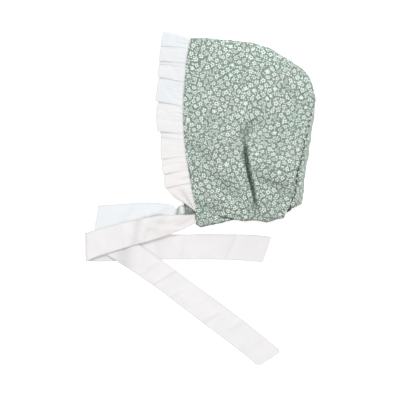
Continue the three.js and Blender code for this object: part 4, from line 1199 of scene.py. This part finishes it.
def printed_cotton():
    m = Nodes("printed_cotton")
    uvn = m.new("ShaderNodeUVMap", uv_map="Cloth")
    uv0 = uvn.outputs["UV"]
    # the print lies askew on the grain and isn't a strict repeat
    rot0 = m.new("ShaderNodeVectorRotate", rotation_type="Z_AXIS")
    m.put(rot0.inputs["Vector"], uv0)
    rot0.inputs["Angle"].default_value = 0.47
    drift = m.new("ShaderNodeTexNoise", noise_dimensions="2D")
    m.put(drift.inputs["Vector"], uv0)
    m.put(drift.inputs["Scale"], 0.024)
    m.put(drift.inputs["Detail"], 0.0)
    wide = m.vmath("SCALE", m.vmath("SUBTRACT", drift.outputs["Color"], (0.5, 0.5, 0.5)), scale=3.4)
    uv1 = m.vmath("ADD", rot0.outputs[0], wide)
    # its outlines are drawn by hand
    wob = m.new("ShaderNodeTexNoise", noise_dimensions="2D")
    m.put(wob.inputs["Vector"], uv0)
    m.put(wob.inputs["Scale"], 0.42)
    m.put(wob.inputs["Detail"], 1.0)
    off = m.vmath("SCALE", m.vmath("SUBTRACT", wob.outputs["Color"], (0.5, 0.5, 0.5)), scale=0.75)
    uv = m.vmath("MULTIPLY", m.vmath("ADD", uv1, off), (1.0, 1.0, 0.0))  # the noises' third part would count as distance
    pitch, loose = 6.35, 0.4
    sd_a, r_a, col_a, between = flowers(m, uv, pitch, loose, 2.22, 3.02, 0.26, 1)
    ve = m.new("ShaderNodeTexVoronoi", voronoi_dimensions="2D", feature="DISTANCE_TO_EDGE")
    m.put(ve.inputs["Vector"], m.vmath("ADD", uv, (13.7, 7.3, 0.0)))
    m.put(ve.inputs["Scale"], 1.0 / pitch)
    m.put(ve.inputs["Randomness"], loose)
    edge_mm = m.math("MULTIPLY", ve.outputs["Distance"], pitch)
    apart = m.step(edge_mm, 0.6, 0.76)
    a_mask = m.math("MULTIPLY", m.step(sd_a, -0.05, 0.09), apart)
    # eyes: a dot of ground, a ring of ground with a pale middle, or none
    kind = col_a.outputs[2]
    dot = m.math("MULTIPLY", m.step(r_a, 0.78, 0.5), m.step(kind, 0.602, 0.598))
    ring = m.math("MULTIPLY", m.math("MULTIPLY", m.step(r_a, 1.3, 1.08), m.step(r_a, 0.54, 0.74)), m.math("MULTIPLY", m.step(kind, 0.598, 0.602), m.step(kind, 0.932, 0.928)))
    eye = m.math("ADD", dot, ring)
    # fine lines between the petals, from the eye outwards
    part = m.math("MULTIPLY", m.step(between, 0.24, 0.1), m.step(r_a, 0.9, 1.2))
    # a small flower sits where four large ones leave room, and dots and leaves fill what is left
    half_step = pitch / 2
    sd_b, r_b, col_b, between_b = flowers(m, m.vmath("ADD", uv, (13.7 + half_step + 37 * pitch, 7.3 + half_step + 11 * pitch, 0.0)), pitch, loose, 0.75, 1.7, 0.25, 0, 4)
    b_mask = m.math("MULTIPLY", m.step(sd_b, -0.05, 0.09), m.step(sd_a, -0.5, -0.7))
    eye_b = m.math("MULTIPLY", m.step(r_b, 0.42, 0.26), m.step(col_b.outputs[1], 0.55, 0.6))
    b_mask = m.math("MULTIPLY", b_mask, m.math("SUBTRACT", 1.0, m.math("MULTIPLY", eye_b, 0.6)))
    vl = m.new("ShaderNodeTexVoronoi", voronoi_dimensions="2D", feature="F1")
    leaf_at = m.vmath("ADD", uv, (51.1, 93.3, 0.0))
    m.put(vl.inputs["Vector"], leaf_at)
    m.put(vl.inputs["Scale"], 1.0 / 2.5)
    m.put(vl.inputs["Randomness"], 0.8)
    dl = m.vmath("SUBTRACT", leaf_at, vl.outputs["Position"])
    cl = m.new("ShaderNodeSeparateColor")
    m.link(vl.outputs["Color"], cl.inputs[0])
    rot = m.new("ShaderNodeVectorRotate", rotation_type="Z_AXIS")
    m.put(rot.inputs["Vector"], dl)
    m.put(rot.inputs["Angle"], m.math("MULTIPLY", cl.outputs[0], 3.1416))
    leaf = m.vmath("LENGTH", m.vmath("MULTIPLY", rot.outputs[0], (1 / 0.86, 1 / 0.56, 0.0)))
    l_mask = m.math("MULTIPLY", m.step(leaf, 1.05, 0.85), m.math("MULTIPLY", m.step(sd_a, -0.5, -0.68), m.step(sd_b, -0.42, -0.58)))
    small = m.math("MAXIMUM", b_mask, l_mask)
    petal = m.math("MULTIPLY", a_mask, m.math("SUBTRACT", 1.0, m.math("MULTIPLY", eye, 0.95)))
    petal = m.math("MULTIPLY", petal, m.math("SUBTRACT", 1.0, m.math("MULTIPLY", part, 0.5)))
    mask = m.math("MAXIMUM", petal, small, clamp_it=True)
    # colour: the ground varies a little, and each motif is more or less full
    tone = m.new("ShaderNodeTexNoise", noise_dimensions="2D")
    m.put(tone.inputs["Vector"], uv0)
    m.put(tone.inputs["Scale"], 0.045)
    m.put(tone.inputs["Detail"], 3.0)
    hue = m.step(tone.outputs["Fac"], 0.35, 0.65)
    ground = m.mix(hue, GROUND_A, GROUND_B)
    # motifs are outlined in a deeper shade of the ground, and paler round the eye and along the rim
    outline = m.math("MAXIMUM", m.step(sd_a, -0.75, -0.25), m.step(sd_b, -0.6, -0.2))
    ground = m.mix(m.math("MULTIPLY", outline, 0.85), ground, m.mix(hue, OUTLINE_A, OUTLINE_B))
    pale = m.math("MAXIMUM", m.math("MULTIPLY", m.step(r_a, 1.9, 1.3), 0.6), m.math("MULTIPLY", m.step(sd_a, 0.6, 0.25), 0.35))
    pale = m.math("MAXIMUM", pale, small)
    petal_c = m.mix(pale, m.mix(hue, PETAL_A, PETAL_B), PETAL_PALE)
    colour = m.mix(mask, ground, petal_c)
    # the print is paler on the cloth's wrong side
    colour = m.mix(m.math("MULTIPLY", inner_side(m), 0.28), colour, PETAL_A)
    # painted shade along the turned edge, within 1.9 mm of it
    colour = m.mix(m.math("MULTIPLY", m.step(rim_distance(m), 1.9, 0.9), 0.85), colour, HEM_SHADE)
    # painted shade, multiplied in where the mesh says: the tuck, the sharper folds, the hem's crease and the gusset's
    # streaks
    fold_shade = m.new("ShaderNodeMix", data_type="RGBA", blend_type="MULTIPLY")
    m.put(fold_shade.inputs[0], painted_shade_amount(m))
    m.put(fold_shade.inputs[6], colour)
    m.put(fold_shade.inputs[7], FOLD_PAINTED_SHADE)
    colour = fold_shade.outputs[2]
    # thread by thread variation
    w = weave(m, uv0, 0.30)
    sl = m.new("ShaderNodeTexNoise", noise_dimensions="2D")
    st = m.new("ShaderNodeMapping")
    m.put(st.inputs["Vector"], uv0)
    st.inputs["Scale"].default_value = (3.0, 0.35, 1.0)
    m.put(sl.inputs["Vector"], st.outputs[0])
    m.put(sl.inputs["Scale"], 1.0)
    m.put(sl.inputs["Detail"], 2.0)
    shade = m.math("ADD", m.math("MULTIPLY", w, 0.10), m.math("MULTIPLY", sl.outputs["Fac"], 0.10))
    shade = m.math("ADD", shade, 0.87)
    mul = m.new("ShaderNodeMix", data_type="RGBA", blend_type="MULTIPLY")
    m.put(mul.inputs[0], 1.0)
    m.put(mul.inputs[6], colour)
    comb = m.new("ShaderNodeCombineColor")
    for k in range(3):
        m.put(comb.inputs[k], shade)
    m.put(mul.inputs[7], comb.outputs[0])
    bump = m.new("ShaderNodeBump")
    bump.inputs["Strength"].default_value = 0.35
    bump.inputs["Distance"].default_value = 0.0002
    m.put(bump.inputs["Height"], m.math("ADD", w, m.math("MULTIPLY", sl.outputs["Fac"], 0.8)))
    rough = m.math("ADD", m.math("MULTIPLY", w, -0.08), 0.93)
    b = m.new("ShaderNodeBsdfPrincipled")
    m.put(b.inputs["Base Color"], mul.outputs[2])
    m.put(b.inputs["Roughness"], rough)
    m.put(b.inputs["Normal"], bump.outputs[0])
    b.inputs["Specular IOR Level"].default_value = 0.22
    b.inputs["Sheen Weight"].default_value = 0.12
    b.inputs["Sheen Roughness"].default_value = 0.5
    out = m.new("ShaderNodeOutputMaterial")
    m.link(b.outputs[0], out.inputs[0])
    return m.mat


def white_cotton(name, light, dark, thread, bump_mm, edge=0.0, warm=None):
    m = Nodes(name)
    uvn = m.new("ShaderNodeUVMap", uv_map="Cloth")
    uv0 = uvn.outputs["UV"]
    tone = m.new("ShaderNodeTexNoise", noise_dimensions="2D")
    m.put(tone.inputs["Vector"], uv0)
    m.put(tone.inputs["Scale"], 0.06)
    m.put(tone.inputs["Detail"], 3.0)
    colour = m.mix(m.step(tone.outputs["Fac"], 0.3, 0.7), light, dark)
    if warm:
        # undyed cotton, warmer in some places than in others at random; over part of its run the cloth is also painted
        # a warmer or cooler tint of light and shade
        cream = m.new("ShaderNodeTexNoise", noise_dimensions="2D")
        m.put(cream.inputs["Vector"], uv0)
        m.put(cream.inputs["Scale"], 0.03)
        m.put(cream.inputs["Detail"], 1.0)
        share = m.math("MULTIPLY", m.step(cream.outputs["Fac"], 0.3, 0.7), 0.35)
        run = m.new("ShaderNodeSeparateXYZ")
        m.link(uv0, run.inputs[0])
        share = m.math("ADD", m.math("MULTIPLY", share, 0.7), m.math("MULTIPLY", m.step(run.outputs[0], warm[1], warm[2]), 0.7))
        colour = m.mix(share, colour, warm[0])
    # painted shade: the cloth is painted darker within 1.5 mm of its edges
    if edge:
        colour = m.mix(m.math("MULTIPLY", m.step(rim_distance(m), 1.5, 0.7), edge), colour, EDGE_SHADE)
    # painted shade in hollows, in the roll's mouth and where one layer lies in another's shadow, as the mesh says
    colour = m.mix(painted_shade_amount(m), colour, HOLLOW_PAINTED_SHADE)
    w = weave(m, uv0, thread)
    sl = m.new("ShaderNodeTexNoise", noise_dimensions="2D")
    st = m.new("ShaderNodeMapping")
    m.put(st.inputs["Vector"], uv0)
    st.inputs["Scale"].default_value = (0.3, 2.6, 1.0)
    m.put(sl.inputs["Vector"], st.outputs[0])
    m.put(sl.inputs["Scale"], 1.0)
    m.put(sl.inputs["Detail"], 2.0)
    shade = m.math("ADD", m.math("MULTIPLY", w, 0.035), m.math("MULTIPLY", sl.outputs["Fac"], 0.03))
    shade = m.math("ADD", shade, 0.957)
    mul = m.new("ShaderNodeMix", data_type="RGBA", blend_type="MULTIPLY")
    m.put(mul.inputs[0], 1.0)
    m.put(mul.inputs[6], colour)
    comb = m.new("ShaderNodeCombineColor")
    for k in range(3):
        m.put(comb.inputs[k], shade)
    m.put(mul.inputs[7], comb.outputs[0])
    bump = m.new("ShaderNodeBump")
    bump.inputs["Strength"].default_value = 0.3
    bump.inputs["Distance"].default_value = bump_mm * MM
    m.put(bump.inputs["Height"], m.math("ADD", w, m.math("MULTIPLY", sl.outputs["Fac"], 0.8)))
    b = m.new("ShaderNodeBsdfPrincipled")
    m.put(b.inputs["Base Color"], mul.outputs[2])
    m.put(b.inputs["Roughness"], m.math("ADD", m.math("MULTIPLY", w, -0.08), 0.92))
    m.put(b.inputs["Normal"], bump.outputs[0])
    b.inputs["Specular IOR Level"].default_value = 0.2
    b.inputs["Sheen Weight"].default_value = 0.1
    b.inputs["Sheen Roughness"].default_value = 0.5
    out = m.new("ShaderNodeOutputMaterial")
    m.link(b.outputs[0], out.inputs[0])
    return m.mat


def thread_material(name, colour):
    m = Nodes(name)
    tc = m.new("ShaderNodeTexCoord")
    n = m.new("ShaderNodeTexNoise")
    m.put(n.inputs["Vector"], tc.outputs["Object"])
    m.put(n.inputs["Scale"], 2500.0)
    c = m.mix(n.outputs["Fac"], tuple(0.85 * v for v in colour[:3]) + (1.0,), colour)
    b = m.new("ShaderNodeBsdfPrincipled")
    m.put(b.inputs["Base Color"], c)
    m.put(b.inputs["Roughness"], m.math("ADD", m.math("MULTIPLY", n.outputs["Fac"], 0.2), 0.6))
    out = m.new("ShaderNodeOutputMaterial")
    m.link(b.outputs[0], out.inputs[0])
    return m.mat


GROUND_A, GROUND_B = srgb(132, 148, 139), srgb(137, 148, 140)
OUTLINE_A, OUTLINE_B = srgb(87, 104, 94), srgb(94, 105, 98)
# painted shade colour along the printed cotton's turned edges
HEM_SHADE = srgb(84, 96, 88)
# painted shade colour, multiplied in along the tuck, the folds and the gusset's streaks
FOLD_PAINTED_SHADE = (0.18, 0.31, 0.235, 1.0)
PETAL_A, PETAL_B = srgb(225, 238, 229), srgb(228, 237, 229)
PETAL_PALE = srgb(229, 241, 233)
MAT_PRINT = printed_cotton()
# painted shade colour along the white cotton's edges
EDGE_SHADE = srgb(200, 197, 197)
# painted shade colour of the white cotton's hollows and of layers lying under others
HOLLOW_PAINTED_SHADE = srgb(150, 141, 136)
# the tint given last for each, over part of its run, is a painted tint of light and shade; the far tie's copy is
# painted cooler than the near one's
MAT_RUFFLE = white_cotton("white_ruffle_cotton", srgb(232, 234, 237), srgb(229, 231, 234), 0.22, 0.12, edge=0.3, warm=(srgb(243, 238, 236), 245.0, 70.0))
MAT_TIE = white_cotton("white_tie_cotton", srgb(243, 240, 241), srgb(239, 236, 237), 0.26, 0.16, edge=0.33, warm=(srgb(238, 232, 231), 90.0, 0.0))
MAT_TIE_FAR = white_cotton("white_tie_cotton_far", srgb(244, 240, 241), srgb(240, 236, 237), 0.26, 0.16, edge=0.33, warm=(srgb(236, 240, 243), 120.0, 70.0))
MAT_THREAD = thread_material("white_thread", srgb(236, 235, 234))
# near-black thread for the back seam and the nape's tack, laid where shade lies in the seam's puckers and at the
# gusset's end: painted shade
MAT_SEAM_SHADE_THREAD = thread_material("seam_shade_thread", srgb(34, 46, 42))
MAT_BEAD = thread_material("gathered_cotton", srgb(226, 228, 224))


# ------------------------------------------------------------------ build
def dress(ob, material, node):
    ob.data.materials.append(material)
    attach(ob, "root")
    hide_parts(node)
    return ob


left_panel = dress(near_panel(), MAT_PRINT, "left_side_panel")
right_panel = dress(far_panel(), MAT_PRINT, "right_side_panel")
strip = dress(gusset(), MAT_PRINT, "crown_gusset")
brim, _ = ruffle()
dress(brim, MAT_RUFFLE, "ruffle_brim")
left, left_grid, left_n, left_len = tie("left_tie_cloth", TIE_NEAR, TIE_NEAR_TURN, TIE_NEAR_BACK, CREASES_NEAR, SHADES_NEAR, 1.4, seed=31, gathers=0.42)
dress(left, MAT_TIE, "left_tie")
right, right_grid, right_n, right_len = tie("right_tie_cloth", TIE_FAR, TIE_FAR_TURN, TIE_FAR_BACK, CREASES_FAR, SHADES_FAR, 4.6, seed=32, gathers=0.3, roll=1.0)
dress(right, MAT_TIE_FAR, "right_tie")

def edge_run(grid, nrm, w):
    """Line along a tie's grid at width share w, with its normals."""
    k = w * (grid.shape[1] - 1)
    i = int(k)
    f = k - i
    return grid[:, i] * (1 - f) + grid[:, min(i + 1, grid.shape[1] - 1)] * f, nrm


def join_to(ob, node):
    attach(ob, "root")
    return ob


# near-black stitches along the back seam, a seam's thread made dark to stand for the shade in its puckers (painted
# shade): heights where each starts and ends on the sheet, and how far it strays towards the back
SEAM_SHADE_DASHES = [
    [103.4, 106.6, 0.4, 0.44],
    [112.6, 116.8, -0.1, 0.5],
    [119.4, 121.6, 0.5, 0.38],
    [124.6, 128.4, 0.4, 0.5],
    [132.8, 136.8, 0.6, 0.5],
    [140.4, 144.4, -0.3, 0.56],
    [146.6, 150.4, 0.7, 0.52],
    [151.8, 153.6, 0.1, 0.4],
    [154.2, 158.4, -0.2, 0.56],
    [159.8, 164.6, 0.3, 0.6],
    [165.4, 167.4, -0.2, 0.5],
    [167.8, 173.2, -0.6, 0.66],
    [173.6, 178.4, -0.2, 0.66],
    [179.0, 184.4, 0.2, 0.62],
    [186.8, 191.6, 0.5, 0.54],
    [193.4, 195.8, 0.0, 0.44],
    [197.2, 202.0, -0.3, 0.58],
    [204.6, 208.6, 0.2, 0.56],
]
s_line = np.linspace(0.4, 0.997, 1600)
q0, _, _, q_n = gusset_row(s_line)
seam_y = q0[:, 1]
seam_shade_dashes = []
for y0, y1, stray, thick in SEAM_SHADE_DASHES:
    on = (seam_y >= y0) & (seam_y <= y1)
    run = q0[on][:: max(1, on.sum() // 8)]
    aside = stray + 0.25 * np.sin(np.linspace(0, 3.1, len(run)) + y0)
    line = place(run)
    nn = q_n[on][:: max(1, on.sum() // 8)]
    line[:, 0] += nn[:, 0] * (aside - 0.3)
    line[:, 1] -= nn[:, 1] * (aside - 0.3)
    line[:, 2] -= 0.25
    up_n = np.zeros_like(line)
    up_n[:, 2] = 1.0
    seam_shade_dashes.append((line, up_n, thick))
back_seam_shade = stitches("back_seam_shade_stitches", seam_shade_dashes, pitch=None, material=MAT_SEAM_SHADE_THREAD)
join_to(back_seam_shade, "crown_gusset")
# the seam's thread is sewn back on itself where the gusset ends, in near-black thread that stands for the shade in the
# notch there (painted shade)
tack = place(np.array([[286.9, 211.6, 15.4], [289.0, 210.1, 16.4], [291.4, 208.9, 16.2]]))
tack_up = np.tile([0.0, 0.0, 1.0], (3, 1))
nape_shade_tacks = stitches("nape_back_shade_tack", [(tack, tack_up), (tack + [0.3, 0.6, 0.1], tack_up), (tack + [0.2, -0.5, -0.2], tack_up)], pitch=1.5, length=2.4, radius=0.5, material=MAT_SEAM_SHADE_THREAD)
join_to(nape_shade_tacks, "crown_gusset")

# small gathers of the ruffle stand in the seam along the panel's front edge
pick = np.random.RandomState(5)
beads = []
y_at = 43.0
while y_at < 209:
    q = near_at(y_at)
    back_by = pick.uniform(0.5, 1.4)
    a_pt = place([q[0] - back_by, q[1] + pick.uniform(-0.3, 0.3), q[2] + 0.1])
    b_pt = place([q[0] - back_by + 2.6, q[1] + pick.uniform(-0.5, 0.5), q[2] + 0.7])
    beads.append((np.array([a_pt, b_pt]), np.tile([0.0, 0.0, 1.0], (2, 1))))
    y_at += pick.uniform(1.5, 2.9)
gathers = stitches("ruffle_seam_gathers", beads, pitch=1.6, length=1.9, radius=0.55, material=MAT_BEAD)
join_to(gathers, "ruffle_brim")


def tie_stitches(name, grid, nrm, total):
    runs = []
    for side in (2.6 / 27, 1 - 2.6 / 27):
        for face in (1, -1):
            line_at, n_at = edge_run(grid, nrm, side)
            keep = slice(12, -10)
            runs.append(((line_at + face * n_at * 0.33)[keep], face * n_at[keep]))
    return stitches(name, runs, pitch=2.5, length=1.7, radius=0.11, material=MAT_THREAD)


left_sewing = join_to(tie_stitches("left_tie_stitches", left_grid, left_n, left_len), "left_tie")
right_sewing = join_to(tie_stitches("right_tie_stitches", right_grid, right_n, right_len), "right_tie")

# ------------------------------------------------------------------ stage
floor_me = bpy.data.meshes.new("floor")
floor_me.from_pydata([(-3, -3, 0), (3, -3, 0), (3, 3, 0), (-3, 3, 0)], [], [(0, 1, 2, 3)])
floor = bpy.data.objects.new("floor", floor_me)
bpy.context.scene.collection.objects.link(floor)
floor.location.z = -0.0002
fm = Nodes("floor")
fd = fm.new("ShaderNodeBsdfDiffuse")
fd.inputs["Color"].default_value = (0.9, 0.9, 0.9, 1)
fe = fm.new("ShaderNodeEmission")
fe.inputs["Color"].default_value = (1, 1, 1, 1)
fe.inputs["Strength"].default_value = 0.5
fa = fm.new("ShaderNodeAddShader")
fm.link(fd.outputs[0], fa.inputs[0])
fm.link(fe.outputs[0], fa.inputs[1])
fo = fm.new("ShaderNodeOutputMaterial")
fm.link(fa.outputs[0], fo.inputs[0])
floor_me.materials.append(fm.mat)

world = bpy.data.worlds.new("studio")
world.use_nodes = True
bg = world.node_tree.nodes["Background"]
bg.inputs[0].default_value = (0.985, 1.0, 1.0, 1)
bg.inputs[1].default_value = 0.6
bpy.context.scene.world = world


def area(name, at, to, size, power, colour):
    d = bpy.data.lights.new(name, "AREA")
    d.color = colour
    d.shape = "DISK"
    d.size = size
    d.energy = power
    o = bpy.data.objects.new(name, d)
    bpy.context.scene.collection.objects.link(o)
    o.location = at
    o.rotation_mode = "QUATERNION"
    o.rotation_quaternion = (Vector(to) - Vector(at)).to_track_quat("-Z", "Y")
    return o


area("key", (0.16, 0.80, 1.0), (0.0, 0.0, 0.0), 0.6, 7.6, (0.955, 0.99, 1.0))
area("fill", (0.05, -0.75, 1.2), (0.0, 0.0, 0.0), 1.1, 4.2, (1.0, 0.95, 0.935))

cam_d = bpy.data.cameras.new("camera")
cam_d.sensor_width = 36.0
REACH = 4.4
cam_d.lens = 18.0 * (REACH - 0.02) / 0.2
cam_d.clip_end = 20.0
cam = bpy.data.objects.new("camera", cam_d)
bpy.context.scene.collection.objects.link(cam)
cam.location = (200.0 * MM - DATUM[0] * MM, (DATUM[1] - 200.0) * MM, REACH)
cam.rotation_mode = "QUATERNION"
cam.rotation_quaternion = (1, 0, 0, 0)
bpy.context.scene.camera = cam
bpy.context.scene.view_settings.view_transform = "Standard"
bpy.context.scene.view_settings.look = "None"
